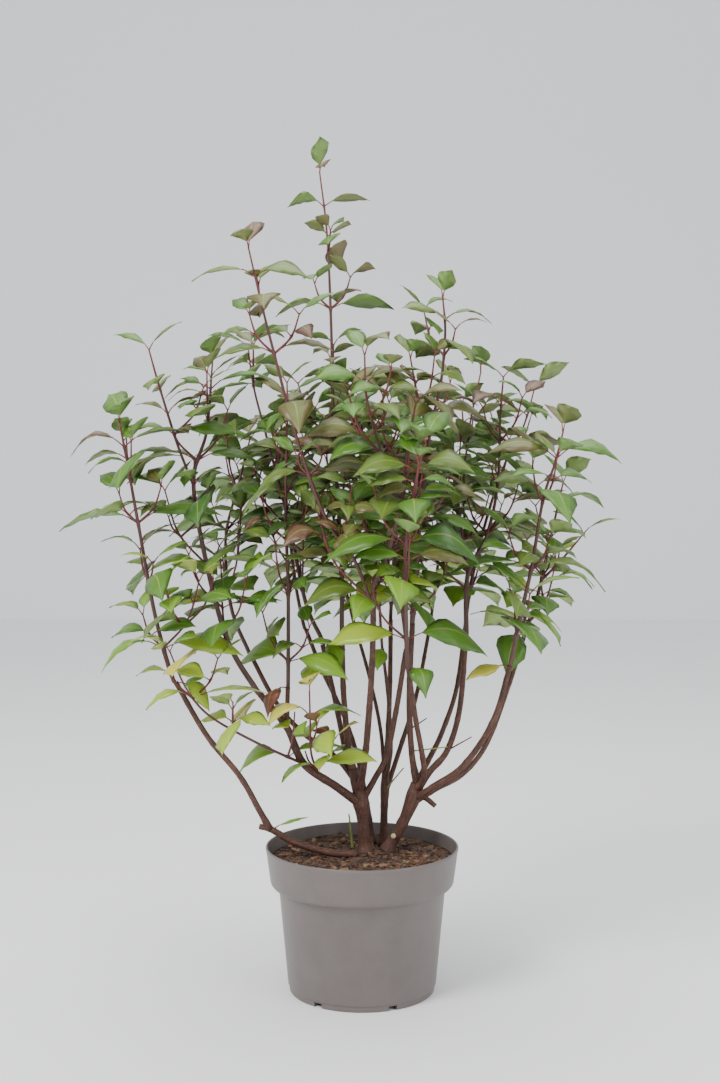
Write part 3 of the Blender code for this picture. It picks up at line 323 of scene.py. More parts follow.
# Leafy sprays: the limb each one grows from, its colour, and its stems. The first stem leaves the
# limb's tip, or the point given, and the others fork off it. Each stem has its points
# (x, y, z, radius), the length of its full leaves, the gap below its tip, how much longer each
# further gap down is, the turn of its first pair in degrees (0 is left and right, 90 front and
# back), how many pairs it has, and how many side twigs.
SPRAYS = {
    "foliage_far_left": (
        "bough_far_left", "upper",
        (
            (
                (
                    (-0.294, -0.080, 0.566, 0.0030), (-0.313, -0.096, 0.688, 0.0025),
                    (-0.327, -0.110, 0.782, 0.0020), (-0.336, -0.118, 0.836, 0.0013),
                ),
                0.104, 0.034, 1.36, 10, 6, 1,
            ),
        ),
    ),
    "foliage_left": (
        "bough_low_left", "upper",
        (
            (
                (
                    (-0.192, -0.052, 0.522, 0.0040), (-0.220, -0.060, 0.626, 0.0036),
                    (-0.240, -0.062, 0.752, 0.0032), (-0.222, -0.052, 0.826, 0.0023),
                    (-0.214, -0.042, 0.926, 0.0013),
                ),
                0.092, 0.040, 1.20, 0, 7, 2,
            ),
            (
                (
                    (-0.240, -0.062, 0.748, 0.0023), (-0.260, -0.082, 0.806, 0.0020),
                    (-0.283, -0.106, 0.890, 0.0017), (-0.295, -0.116, 0.938, 0.0012),
                ),
                0.078, 0.058, 1.15, 90, 3, 0,
            ),
        ),
    ),
    "foliage_left_upright": (
        "bough_left_upright", "middle",
        (
            (
                (
                    (-0.107, -0.040, 0.600, 0.0028), (-0.110, -0.048, 0.720, 0.0023),
                    (-0.106, -0.052, 0.868, 0.0013),
                ),
                0.090, 0.036, 1.22, 60, 6, 2,
            ),
        ),
    ),
    "foliage_left_behind": (
        "bough_left_behind", "middle",
        (
            (
                (
                    (-0.202, 0.104, 0.560, 0.0030), (-0.211, 0.120, 0.664, 0.0024),
                    (-0.191, 0.130, 0.749, 0.0019), (-0.174, 0.138, 0.818, 0.0013),
                ),
                0.092, 0.034, 1.40, 20, 5, 2,
            ),
        ),
    ),
    "foliage_left_middle": (
        "bough_left_middle", "upper",
        (
            (
                (
                    (-0.086, 0.074, 0.570, 0.0033), (-0.112, 0.086, 0.692, 0.0027),
                    (-0.146, 0.102, 0.820, 0.0020), (-0.166, 0.112, 0.896, 0.0017),
                    (-0.175, 0.118, 0.958, 0.0012),
                ),
                0.088, 0.060, 1.12, 90, 6, 3,
            ),
        ),
    ),
    "foliage_back_left": (
        "bough_back_left", "middle",
        (
            (
                (
                    (-0.108, 0.164, 0.610, 0.0027), (-0.122, 0.196, 0.740, 0.0020),
                    (-0.132, 0.214, 0.830, 0.0013),
                ),
                0.092, 0.040, 1.25, 40, 5, 3,
            ),
        ),
    ),
    "foliage_back_thin": (
        "bough_back_thin", "middle",
        (
            (
                (
                    (-0.038, 0.222, 0.640, 0.0022), (-0.054, 0.246, 0.750, 0.0018),
                    (-0.060, 0.258, 0.850, 0.0012),
                ),
                0.090, 0.040, 1.22, 70, 5, 3,
            ),
        ),
    ),
    "foliage_top": (
        "bough_tall", "top",
        (
            (
                (
                    (-0.031, 0.040, 0.640, 0.0034), (-0.042, 0.045, 0.825, 0.0028),
                    (-0.046, 0.048, 0.985, 0.0022), (-0.052, 0.050, 1.118, 0.0017),
                    (-0.063, 0.050, 1.212, 0.0012),
                ),
                0.080, 0.052, 1.28, 0, 8, 3,
            ),
        ),
    ),
    "foliage_front_centre": (
        "bough_front_centre", "upper",
        (
            (
                (
                    (0.038, -0.128, 0.664, 0.0032), (0.053, -0.150, 0.727, 0.0028),
                    (0.061, -0.172, 0.800, 0.0020), (0.072, -0.188, 0.862, 0.0013),
                ),
                0.092, 0.040, 1.22, 90, 5, 2,
            ),
            (
                (
                    (0.053, -0.150, 0.722, 0.0022), (0.024, -0.176, 0.800, 0.0019),
                    (0.006, -0.200, 0.866, 0.0016), (0.003, -0.208, 0.924, 0.0012),
                ),
                0.084, 0.038, 1.22, 30, 4, 1,
            ),
        ),
    ),
    "foliage_upper_left": (
        ("bough_front_centre", 0.93), "top",
        (
            (
                (
                    (-0.011, -0.120, 0.646, 0.0026), (-0.050, -0.132, 0.704, 0.0026),
                    (-0.088, -0.146, 0.810, 0.0023), (-0.122, -0.158, 0.939, 0.0020),
                    (-0.137, -0.164, 1.000, 0.0016), (-0.153, -0.168, 1.070, 0.0012),
                ),
                0.084, 0.038, 1.26, 0, 7, 1,
            ),
        ),
    ),
    "foliage_centre": (
        "bough_centre", "middle",
        (
            (
                (
                    (0.060, 0.000, 0.560, 0.0033), (0.048, -0.004, 0.640, 0.0028),
                    (0.036, -0.010, 0.740, 0.0022), (0.030, -0.014, 0.880, 0.0013),
                ),
                0.090, 0.040, 1.20, 50, 6, 3,
            ),
        ),
    ),
    "foliage_back_centre": (
        "bough_back_centre", "middle",
        (
            (
                (
                    (0.052, 0.222, 0.630, 0.0028), (0.064, 0.250, 0.740, 0.0021),
                    (0.070, 0.268, 0.856, 0.0013),
                ),
                0.094, 0.040, 1.22, 10, 6, 3,
            ),
        ),
    ),
    "foliage_slender": (
        "bough_slender", "middle",
        (
            (
                (
                    (0.022, 0.046, 0.620, 0.0021), (0.008, 0.050, 0.740, 0.0018),
                    (-0.004, 0.060, 0.880, 0.0012),
                ),
                0.086, 0.040, 1.22, 80, 6, 2,
            ),
        ),
    ),
    "foliage_right_upright": (
        "bough_right_upright", "top",
        (
            (
                (
                    (0.080, -0.018, 0.640, 0.0036), (0.086, -0.030, 0.724, 0.0032),
                    (0.098, -0.040, 0.826, 0.0025), (0.112, -0.050, 0.892, 0.0022),
                    (0.118, -0.056, 0.965, 0.0018), (0.114, -0.060, 1.016, 0.0013),
                ),
                0.082, 0.032, 1.62, 20, 6, 2,
            ),
            (
                (
                    (0.096, -0.039, 0.818, 0.0020), (0.080, -0.052, 0.873, 0.0016),
                    (0.068, -0.062, 0.931, 0.0012),
                ),
                0.080, 0.036, 1.20, 20, 3, 0,
            ),
        ),
    ),
    "foliage_front": (
        "bough_front", "middle",
        (
            (
                (
                    (0.060, -0.142, 0.580, 0.0030), (0.058, -0.184, 0.662, 0.0025),
                    (0.066, -0.214, 0.736, 0.0020), (0.082, -0.234, 0.806, 0.0013),
                ),
                0.096, 0.040, 1.20, 0, 6, 2,
            ),
        ),
    ),
    "foliage_right_middle": (
        "bough_right_middle", "upper",
        (
            (
                (
                    (0.159, 0.050, 0.612, 0.0036), (0.186, 0.042, 0.670, 0.0028),
                    (0.202, 0.032, 0.750, 0.0022), (0.204, 0.022, 0.845, 0.0018),
                    (0.208, 0.018, 0.908, 0.0013),
                ),
                0.092, 0.044, 1.20, 40, 5, 2,
            ),
            (
                (
                    (0.159, 0.050, 0.610, 0.0026), (0.150, 0.056, 0.680, 0.0022),
                    (0.144, 0.062, 0.740, 0.0017), (0.148, 0.060, 0.812, 0.0012),
                ),
                0.092, 0.040, 1.24, 0, 4, 1,
            ),
        ),
    ),
    "foliage_right_behind": (
        "bough_right_behind", "upper",
        (
            (
                (
                    (0.172, 0.160, 0.590, 0.0030), (0.198, 0.186, 0.690, 0.0025),
                    (0.228, 0.200, 0.778, 0.0020), (0.258, 0.204, 0.838, 0.0016),
                    (0.276, 0.206, 0.900, 0.0012),
                ),
                0.086, 0.046, 1.22, 60, 6, 2,
            ),
            (
                (
                    (0.174, 0.164, 0.600, 0.0024), (0.158, 0.138, 0.720, 0.0020),
                    (0.166, 0.132, 0.830, 0.0016), (0.184, 0.132, 0.922, 0.0012),
                ),
                0.084, 0.050, 1.20, 10, 5, 1,
            ),
        ),
    ),
    "foliage_far_right_low": (
        "bough_far_right_low", "upper",
        (
            (
                (
                    (0.224, -0.072, 0.556, 0.0032), (0.240, -0.082, 0.634, 0.0028),
                    (0.254, -0.092, 0.728, 0.0022), (0.270, -0.100, 0.782, 0.0017),
                    (0.280, -0.104, 0.824, 0.0013),
                ),
                0.108, 0.038, 1.70, 0, 6, 1,
            ),
        ),
    ),
    "foliage_far_right": (
        "bough_far_right", "middle",
        (
            (
                (
                    (0.268, 0.104, 0.566, 0.0030), (0.284, 0.114, 0.630, 0.0025),
                    (0.298, 0.122, 0.690, 0.0019), (0.312, 0.126, 0.752, 0.0013),
                ),
                0.096, 0.040, 1.24, 30, 4, 1,
            ),
            (
                (
                    (0.276, 0.109, 0.598, 0.0022), (0.312, 0.118, 0.634, 0.0018),
                    (0.345, 0.126, 0.672, 0.0012),
                ),
                0.080, 0.070, 1.00, 90, 1, 0,
            ),
        ),
    ),
    "foliage_back_right": (
        "bough_back_right", "middle",
        (
            (
                (
                    (0.122, 0.238, 0.600, 0.0025), (0.134, 0.262, 0.700, 0.0020),
                    (0.142, 0.276, 0.800, 0.0013),
                ),
                0.094, 0.040, 1.22, 20, 5, 3,
            ),
        ),
    ),
    "foliage_low_left": (
        ("bough_low_left", 0.47), "low",
        (
            (
                (
                    (-0.153, -0.046, 0.376, 0.0020), (-0.218, -0.074, 0.420, 0.0018),
                    (-0.250, -0.086, 0.462, 0.0015), (-0.272, -0.094, 0.516, 0.0012),
                ),
                0.084, 0.030, 1.60, 90, 4, 0,
            ),
        ),
    ),
    "foliage_low_centre": (
        ("bough_low_left", 0.34), "low",
        (
            (
                (
                    (-0.074, -0.030, 0.356, 0.0017), (-0.075, -0.044, 0.400, 0.0015),
                    (-0.076, -0.050, 0.452, 0.0012),
                ),
                0.088, 0.036, 1.20, 10, 3, 0,
            ),
        ),
    ),
}


def smooth_route(points, spacing):
    """Points (place, radius) on a smooth curve through the given (x, y, z, radius) points."""
    places = [Vector(point[:3]) for point in points]
    radii = [point[3] for point in points]
    places = [2 * places[0] - places[1], *places, 2 * places[-1] - places[-2]]
    radii = [radii[0], *radii, radii[-1]]
    route = []
    for index in range(1, len(places) - 2):
        a, b, c, d = places[index - 1 : index + 3]
        steps = max(1, round((c - b).length / spacing))
        for step in range(steps):
            t = step / steps
            place = 0.5 * (
                2 * b
                + (c - a) * t
                + (2 * a - 5 * b + 4 * c - d) * t * t
                + (3 * b - 3 * c + d - a) * t * t * t
            )
            ease = t * t * (3 - 2 * t)
            radius = radii[index] * (1 - ease) + radii[index + 1] * ease
            route.append((place, radius))
    route.append((places[-2], radii[-2]))
    return route


def headings(route):
    """The direction of travel at each point of a route."""
    places = [place for place, _ in route]
    last = len(places) - 1
    return [
        (places[min(index + 1, last)] - places[max(index - 1, 0)]).normalized()
        for index in range(len(places))
    ]


def ring_faces(rings, sides):
    """The faces between rings of corners, and at both ends."""
    faces = []
    for ring in range(rings - 1):
        for side in range(sides):
            a = ring * sides + side
            b = ring * sides + (side + 1) % sides
            faces.append((a, b, b + sides, a + sides))
    faces.append(tuple(range(sides - 1, -1, -1)))
    faces.append(tuple(range((rings - 1) * sides, rings * sides)))
    return faces


def tube(route, sides, extra=0.0, level_start=False):
    """Corner points and faces of a closed tube along a route of (place, radius)."""
    ways = headings(route)
    if level_start:
        ways[0] = UP
    across = ways[0].cross(Vector((0.0, 1.0, 0.0)))
    if across.length < NEARLY_PARALLEL:
        across = ways[0].cross(Vector((1.0, 0.0, 0.0)))
    points = []
    for (place, radius), way in zip(route, ways):
        across = (across - way * across.dot(way)).normalized()
        beside = way.cross(across)
        for side in range(sides):
            angle = math.tau * side / sides
            spoke = across * math.cos(angle) + beside * math.sin(angle)
            points.append(place + spoke * (radius + extra))
    return points, ring_faces(len(route), sides)


def point_along(points, fraction):
    """The place and radius at a fraction of the length of a limb."""
    route = smooth_route(points, FINE_STEP)
    lengths = [(b[0] - a[0]).length for a, b in zip(route, route[1:])]
    left = fraction * sum(lengths)
    for (start, start_radius), (end, _), length in zip(route, route[1:], lengths):
        if left <= length:
            return start.lerp(end, left / length), start_radius
        left -= length
    return route[-1]


def leaf_axes(shape):
    """The directions of a leaf: along its rise, along its droop, and to its side.

    Its blade leans so that the side away from the plant's middle hangs lower.
    """
    root, azimuth, rise, droop, roll = shape
    ahead = Vector((math.cos(azimuth), math.sin(azimuth), 0.0))
    level = Vector((-ahead.y, ahead.x, 0.0))
    outward = Vector((root.x, root.y, 0.0)).normalized()
    roll -= LEAF_LEAN * level.dot(outward)
    droop += OUTER_DROOP * ahead.dot(outward)
    side = level * math.cos(roll) + UP * math.sin(roll)
    first = ahead * math.cos(rise) + UP * math.sin(rise)
    second = ahead * math.cos(droop) - UP * math.sin(droop)
    return first, second, side


def leaf_solid(root, azimuth, rise, droop, roll, length, spare=0.0):
    """Corner points and faces of a plain leaf that rises from its root, arches over and droops."""
    first, second, side = leaf_axes((root, azimuth, rise, droop, roll))
    arch = root + first * length * LEAF_ARCH
    tip = arch + second * (length * (1 - LEAF_ARCH) + spare)
    half = side * (length * LEAF_WIDTH / 2 + spare)
    crown_way = (first + second).cross(side)
    crown_way = crown_way.normalized() * (1 if crown_way.z > 0 else -1)
    thickness = length * LEAF_CROWN
    points = [
        root + UP * (LEAF_ROOT + spare),
        root - UP * (LEAF_ROOT + spare),
        arch - half - crown_way * spare,
        arch + half - crown_way * spare,
        tip,
        arch + crown_way * (thickness + spare),
    ]
    faces = [(0, 2, 5), (0, 5, 3), (2, 4, 5), (5, 4, 3), (1, 3, 2), (2, 3, 4), (0, 1, 2), (0, 3, 1)]
    return points, faces


def tree_of(points, faces):
    return BVHTree.FromPolygons([tuple(point) for point in points], faces)


def blade_guard(points):
    """A tree of the blade alone, from a quarter of the way out, for tests against near leaves."""
    start = points[0].lerp(points[5], 0.5)
    corners = [start, points[2], points[3], points[4], points[5]]
    return tree_of(corners, [(0, 1, 4), (0, 4, 2), (1, 3, 4), (4, 3, 2)])


def span(points, margin):
    low = [min(point[axis] for point in points) - margin for axis in range(3)]
    high = [max(point[axis] for point in points) + margin for axis in range(3)]
    return low, high


def apart(one, other):
    return any(one[0][axis] > other[1][axis] or other[0][axis] > one[1][axis] for axis in range(3))


class Crown:
    """What has grown so far, which a new leaf or twig has to miss."""

    def __init__(self, limbs):
        self.guards = {}
        for name, limb in limbs.items():
            guard = limb.guard()
            self.guards[name] = [(span([place for place, _ in limb.route], LIMB_MARGIN), guard, guard)]

    def add(self, mass, points, whole, blade):
        """Keeps a piece as its own mass meets it, by its blade, and as the others do, whole."""
        self.guards.setdefault(mass, []).append((span(points, PIECE_MARGIN), whole, blade))

    def blocked(self, mass, points, tree, blade=None, skip=()):
        """Whether a new piece meets another mass or limb, or its blade meets one of its own mass."""
        box = span(points, TEST_MARGIN)
        for owner, pieces in self.guards.items():
            if owner in skip:
                continue
            if owner == mass and blade is None:
                continue
            for other_box, other_whole, other_blade in pieces:
                if apart(box, other_box):
                    continue
                if owner == mass and blade.overlap(other_blade):
                    return True
                if owner != mass and tree.overlap(other_whole):
                    return True
        return False


def node_distances(length, pairs, first, growth):
    """How far below the tip each leaf pair sits, the gaps growing towards the foot."""
    distances = []
    gap = first
    below = first
    for _ in range(pairs):
        if below > length - FOOT_MARGIN:
            break
        distances.append(below)
        gap = min(gap * growth, LONGEST_GAP)
        below += gap
    return distances


def twig_tube(points, ring):
    """Corner points, faces and a fatter guard of a three-sided twig, as stout as the round one."""
    swollen = [(place, radius * TWIG_SWELL) for place, radius in smooth_route(points, ring)]
    tube_points, faces = tube(swollen, TWIG_SIDES)
    fat_points, _ = tube(swollen, TWIG_SIDES, LEAF_CLEAR)
    return tube_points, faces, tree_of(fat_points, faces)


def place_below(fine, lengths, below):
    """The place a distance below the tip of a finely divided route."""
    for index in range(len(lengths) - 1, -1, -1):
        if below <= lengths[index]:
            start, end = fine[index], fine[index + 1]
            return end[0].lerp(start[0], below / lengths[index])
        below -= lengths[index]
    return fine[0][0]


def spray_stems(origin, limbs, stems):
    """The stems of a spray, the first one starting at its limb's tip or at a point on its side."""
    points, *rest = stems[0]
    stout = points[0][3] * STEM_SWELL
    if isinstance(origin, str):
        parent = origin
        place, radius = limbs[origin].route[-1]
        way = headings(limbs[origin].route)[-1]
        stout = min(radius, stout)
        start = ((*(place + way * GAP), stout), (*(place + way * 2 * FINE_STEP), stout))
    else:
        parent, fraction = origin
        place, _ = point_along(limbs[parent].points, fraction)
        start = ((*place, stout),)
    return parent, (((*start, *points), *rest), *stems[1:])


# Growth beyond the solids: leaves that found no room there, and short shoots from free axils.
# Leaves are drawn longer than the tables say, until the crown looks as full as the real one.
LEAF_LENGTH = 1.38
FINE_SEED = 71
FINE_SHARE = 0.85
FINE_LENGTH = (0.030, 0.095)
FINE_LEAF = 0.86
FINE_BELOW = 0.060
RETRY_SHARE = 0.86
BOX_MARGIN = 0.004
ROOT_SINK = 0.6

# Single leaves: limb, height of the root, azimuth, rise and droop in degrees, roll, length, spray
SINGLE_LEAVES = (
    ("bough_far_right", 0.560, -118, 5, 86, 0.0, 0.112, "foliage_right_middle"),
    ("bough_far_right_low", 0.520, 205, 10, 40, 0.1, 0.075, "foliage_low_left"),
    ("bough_front", 0.560, -60, 20, 70, 0.1, 0.085, "foliage_right_middle"),
    ("bough_left_upright", 0.520, -130, 10, 80, -0.1, 0.085, "foliage_low_left"),
    ("bough_left_middle", 0.500, -60, 15, 75, 0.1, 0.080, "foliage_front"),
    ("bough_far_left", 0.455, -20, 0, 84, 0.2, 0.078, "foliage_low_left"),
    ("bough_slender", 0.480, -100, 10, 78, 0.0, 0.070, "foliage_front"),
    ("lying_stem", 0.238, 20, 30, 10, 0.0, 0.060, "foliage_low_left"),
)


class Limb:
    """A limb's route, and the tube round it that leaves and twigs must not cross."""

    def __init__(self, points, sides, ring, level_start=False):
        self.points = points
        self.route = smooth_route(points, ring)
        self.sides = sides
        self.level_start = level_start

    def guard(self):
        return tree_of(*tube(self.route, self.sides, LEAF_CLEAR, self.level_start))


class Growth:
    """What has grown: leaves, stems with the places of their nodes, and the axils along them."""

    def __init__(self, scale, low=None, high=None):
        self.scale = scale
        self.low = low
        self.high = high
        self.leaves = []
        self.stems = []
        self.axils = []
        self.missed = []

    def holds(self, points):
        if self.low is None:
            return True
        return all(
            self.low[axis] < point[axis] < self.high[axis] for point in points for axis in range(3)
        )


def make_limbs():
    limbs = {}
    for name, points in TRUNKS.items():
        green = name == "young_shoot"
        limbs[name] = Limb(points, BOUGH_SIDES if green else TRUNK_SIDES, TRUNK_RING, True)
    limbs["lying_stem"] = Limb(LYING_STEM, BOUGH_SIDES, TRUNK_RING)
    for name, (_, points) in BOUGHS.items():
        limbs[name] = Limb(points, BOUGH_SIDES, BOUGH_RING)
    return limbs


def grow_leaf(crown, mass, settings, skip, growth, below):
    """Adds a leaf, turned or shortened until it clears its neighbours, or adds nothing."""
    root, azimuth, rise, droop, roll, length = settings
    for turn, share in LEAF_TRIES:
        tried = (root, azimuth + turn, rise, droop, roll, length * share)
        points, faces = leaf_solid(*tried)
        if min(point.z for point in points) < POT_HEIGHT + RIM_CLEAR or not growth.holds(points):
            continue
        fat_points, _ = leaf_solid(*tried, LEAF_CLEAR)
        guard = tree_of(fat_points, faces)
        blade = blade_guard(points)
        if not crown.blocked(mass, fat_points, guard, blade, skip):
            crown.add(mass, points, guard, blade)
            growth.leaves.append((mass, tried[:5], length * share / growth.scale, below))
            return
    growth.missed.append((mass, settings[:5], length / growth.scale, skip, below))


def grow_stem(crown, mass, stem, skip, rng, growth):
    """The leaves of one stem, in opposite pairs that turn a quarter each time, and its side twigs."""
    points, leaf, first, growth_rate, turn, pairs, twigs = stem
    full = leaf * growth.scale
    fine = smooth_route(points, FINE_STEP)
    lengths = [(b[0] - a[0]).length for a, b in zip(fine, fine[1:])]
    distances = node_distances(sum(lengths), pairs, first, growth_rate)
    growth.stems.append((mass, points, [sum(lengths) - below for below in distances]))
    lowest = len(distances) - 1
    twig_nodes = range(lowest, max(0, lowest - twigs), -1)
    azimuth = math.radians(turn)
    way = (fine[-1][0] - fine[-3][0]).normalized()
    root = fine[-1][0] - way * TIP_SINK
    for side in (0, 1):
        spread = azimuth + math.pi * (side + 0.5) + rng.uniform(-TIP_SPREAD, TIP_SPREAD)
        rise = math.radians(rng.uniform(*TIP_RISE))
        droop = math.radians(rng.uniform(*TIP_DROOP))
        length = full * rng.uniform(*TIP_SIZE)
        grow_leaf(crown, mass, (root, spread, rise, droop, 0.0, length), skip, growth, 0.0)
    for node, below in enumerate(distances):
        place = place_below(fine, lengths, below)
        sag = math.radians(SAG) * min(1.0, below / SAG_LENGTH)
        size = full * min(1.0, YOUNG_SIZE + SIZE_STEP * node)
        twig_side = rng.randrange(2)
        for side in (0, 1):
            spread = azimuth + math.pi * side + rng.uniform(-PAIR_SPREAD, PAIR_SPREAD)
            rise = math.radians(rng.uniform(*PAIR_RISE)) - sag
            droop = math.radians(rng.uniform(*PAIR_DROOP)) + sag
            roll = rng.uniform(-PAIR_ROLL, PAIR_ROLL)
            root = place + Vector((math.cos(spread), math.sin(spread), 0.0)) * PAIR_OFFSET
            length = size * rng.uniform(*PAIR_SIZE)
            grow_leaf(crown, mass, (root, spread, rise, droop, roll, length), skip, growth, below)
            if node in twig_nodes and side == twig_side:
                grow_twig(crown, mass, place, spread, leaf, skip, rng, growth, TWIG_LENGTH)
            else:
                growth.axils.append((mass, place, spread, leaf, below, skip))
        azimuth += math.radians(90)


def grow_twig(crown, mass, place, spread, leaf, skip, rng, growth, lengths):
    """A short side twig from a leaf's axil, curving upwards, turned until it finds room."""
    length = rng.uniform(*lengths)
    pairs = 1 if length < TWO_PAIRS_FROM else 2
    first_turn = rng.uniform(0, 180)
    foot, middle, end = TWIG_RADII
    for turn in TWIG_TURNS:
        ahead = Vector((math.cos(spread + turn), math.sin(spread + turn), 0.0))
        elbow = place + (ahead + UP) * length * ELBOW_SHARE
        tip = place + ahead * length * TWIG_AHEAD + UP * length * TWIG_UP
        points = ((*place, foot), (*elbow, middle), (*tip, end))
        tube_points, faces, guard = twig_tube(points, TWIG_TUBE_RING)
        if not growth.holds([tip]) or crown.blocked(mass, tube_points, guard, None, skip):
            continue
        crown.add(mass, tube_points, guard, guard)
        stem = (points, leaf * TWIG_LEAF, TWIG_FIRST_GAP, TWIG_GROWTH, first_turn, pairs, 0)
        grow_stem(crown, mass, stem, skip, rng, growth)
        return


def grow_sprays(limbs):
    """The leaves and twigs that the solids have, at the same places."""
    crown = Crown(limbs)
    growth = Growth(LEAF_SCALE)
    grown = {}
    for name, (origin, _, stems) in SPRAYS.items():
        parent, stems = spray_stems(origin, limbs, stems)
        for stem in stems:
            points, _, guard = twig_tube(stem[0], TWIG_RING)
            crown.add(name, points, guard, guard)
        grown[name] = (parent, stems)
    for seed, (name, (parent, stems)) in enumerate(grown.items()):
        rng = random.Random(seed)
        for stem in stems:
            grow_stem(crown, name, stem, (parent,), rng, growth)
    return growth


def hang_single_leaves(limbs, growth):
    """Leaves that hang alone from the older wood."""
    for name, height, azimuth, rise, droop, roll, length, mass in SINGLE_LEAVES:
        route = limbs[name].route
        place, radius = min(route, key=lambda step: abs(step[0].z - height))
        turn = math.radians(azimuth)
        root = place + Vector((math.cos(turn), math.sin(turn), 0.0)) * radius * ROOT_SINK
        shape = (root, turn, math.radians(rise), math.radians(droop), roll)
        growth.leaves.append((mass, shape, length / LEAF_LENGTH, SAG_LENGTH))


def grow_finer(limbs, growth):
    """Short shoots from free axils, kept inside the box of the solids."""
    rng = random.Random(FINE_SEED)
    crown = Crown(limbs)
    for mass, points, _ in growth.stems:
        tube_points, _, guard = twig_tube(points, TWIG_RING)
        crown.add(mass, tube_points, guard, guard)
    for mass, shape, length, _ in growth.leaves:
        points, faces = leaf_solid(*shape, length)
        crown.add(mass, points, tree_of(points, faces), blade_guard(points))
    low = [edge + BOX_MARGIN for edge in cad_box[0]]
    high = [edge - BOX_MARGIN for edge in cad_box[1]]
    finer = Growth(1.0, low, high)
    for mass, shape, length, skip, below in growth.missed:
        grow_leaf(crown, mass, (*shape, length * RETRY_SHARE), skip, finer, below)
    for mass, place, spread, leaf, below, skip in growth.axils:
        if below < FINE_BELOW or rng.random() > FINE_SHARE:
            continue
        grow_twig(crown, mass, place, spread, leaf * FINE_LEAF, skip, rng, finer, FINE_LENGTH)
    return finer


# Meshes
class Batch:
    """Many small shapes gathered into one mesh, each face with its finish."""

    def __init__(self):
        self.points = []
        self.faces = []
        self.finishes = []
        self.count = 0

    def add(self, points, faces, finishes):
        self.points.extend([tuple(point) for point in points])
        start = self.count
        self.faces.extend([tuple(corner + start for corner in face) for face in faces])
        self.finishes.extend(finishes)
        self.count += len(points)

    def build(self, name, materials, smooth=True):
        mesh = bpy.data.meshes.new(name)
        mesh.from_pydata(self.points, [], self.faces)
        for finish in materials:
            mesh.materials.append(finish)
        mesh.polygons.foreach_set("material_index", self.finishes)
        if smooth:
            mesh.shade_smooth()
        mesh.update()
        piece = bpy.data.objects.new(name, mesh)
        bpy.context.scene.collection.objects.link(piece)
        return piece


# Leaf blades: stations along the midrib, columns across, and half widths along the outline
STATIONS = 8
ALONG = (0.0, 0.09, 0.21, 0.35, 0.49, 0.62, 0.75, 0.885, 1.0)
COLUMNS = (-1.0, -0.52, -0.05, 0.05, 0.52, 1.0)
OUTLINE = (
    (0.0, 0.05), (0.07, 0.30), (0.18, 0.64), (0.32, 0.90), (0.45, 1.0), (0.59, 0.94),
    (0.73, 0.70), (0.85, 0.37), (0.93, 0.15), (1.0, 0.012),
)
# The stalk: its share of the leaf's length, its radius, and how much stouter its foot is
PETIOLE_SHARE = 0.15
PETIOLE_SIDES = 3
PETIOLE_RINGS = 3
PETIOLE_RADIUS = 0.0010
PETIOLE_FOOT = 1.15
PETIOLE_TAPER = 0.1
PETIOLE_OVERLAP = 1.12
# How the blade bends, folds along its midrib and ripples, as shares of its length or width
BLADE_HALF_WIDTH = 0.214
VEIN_SLANT = 0.42
ARCH_HANDLES = (0.42, 0.36)
CURL = (0.02, 0.10)
WIDTH_RANGE = (0.90, 1.12)
FOLD = (0.06, 0.26)
FOLD_CURVE = 1.6
WAVE = (0.0, 0.016)
WAVE_COUNT = 1.6
# The pleats between side veins, the teeth, the sunk midrib and the keel below it
INNER = 0.2
PLEAT_SPREAD = 1.4
PLEAT_INSIDE = 1.15
PLEAT_FADE = 0.6
VEIN_DEPTH = 0.0080
KEEL_CORNERS = STATIONS // 2 + 1
LEAF_CORNERS = len(COLUMNS) * (STATIONS + 1) + KEEL_CORNERS + PETIOLE_SIDES * PETIOLE_RINGS
TOOTH = 0.030
MIDRIB_SINK = 0.006
KEEL = 0.024
KEEL_LEAST = 0.0004
# The box that a leaf keeps inside, and how it is drawn shorter until it does
EDGE_KEPT = 0.0006
SHRINK = 0.97
TOP, EDGE, RIB, UNDER, PETIOLE = range(5)


def blade_faces():
    """The faces of a leaf and the part of it that each belongs to."""
    faces = []
    kinds = []
    across = len(COLUMNS)
    keel = across * (STATIONS + 1)
    for station in range(STATIONS):
        for column in range(across - 1):
            a = station * across + column
            faces.append((a, a + across, a + across + 1, a + 1))
            kinds.append((EDGE, TOP, RIB, TOP, EDGE)[column])
    for half in range(STATIONS // 2):
        left = 2 * half * across
        right = left + across - 1
        middle = keel + half
        faces.append((left, middle, middle + 1, left + 2 * across, left + across))
        faces.append((middle, right, right + across, right + 2 * across, middle + 1))
        kinds.extend((UNDER, UNDER))
    start = keel + KEEL_CORNERS
    for face in ring_faces(PETIOLE_RINGS, PETIOLE_SIDES):
        faces.append(tuple(start + corner for corner in face))
        kinds.append(PETIOLE)
    return faces, kinds


LEAF_FACES, LEAF_KINDS = blade_faces()


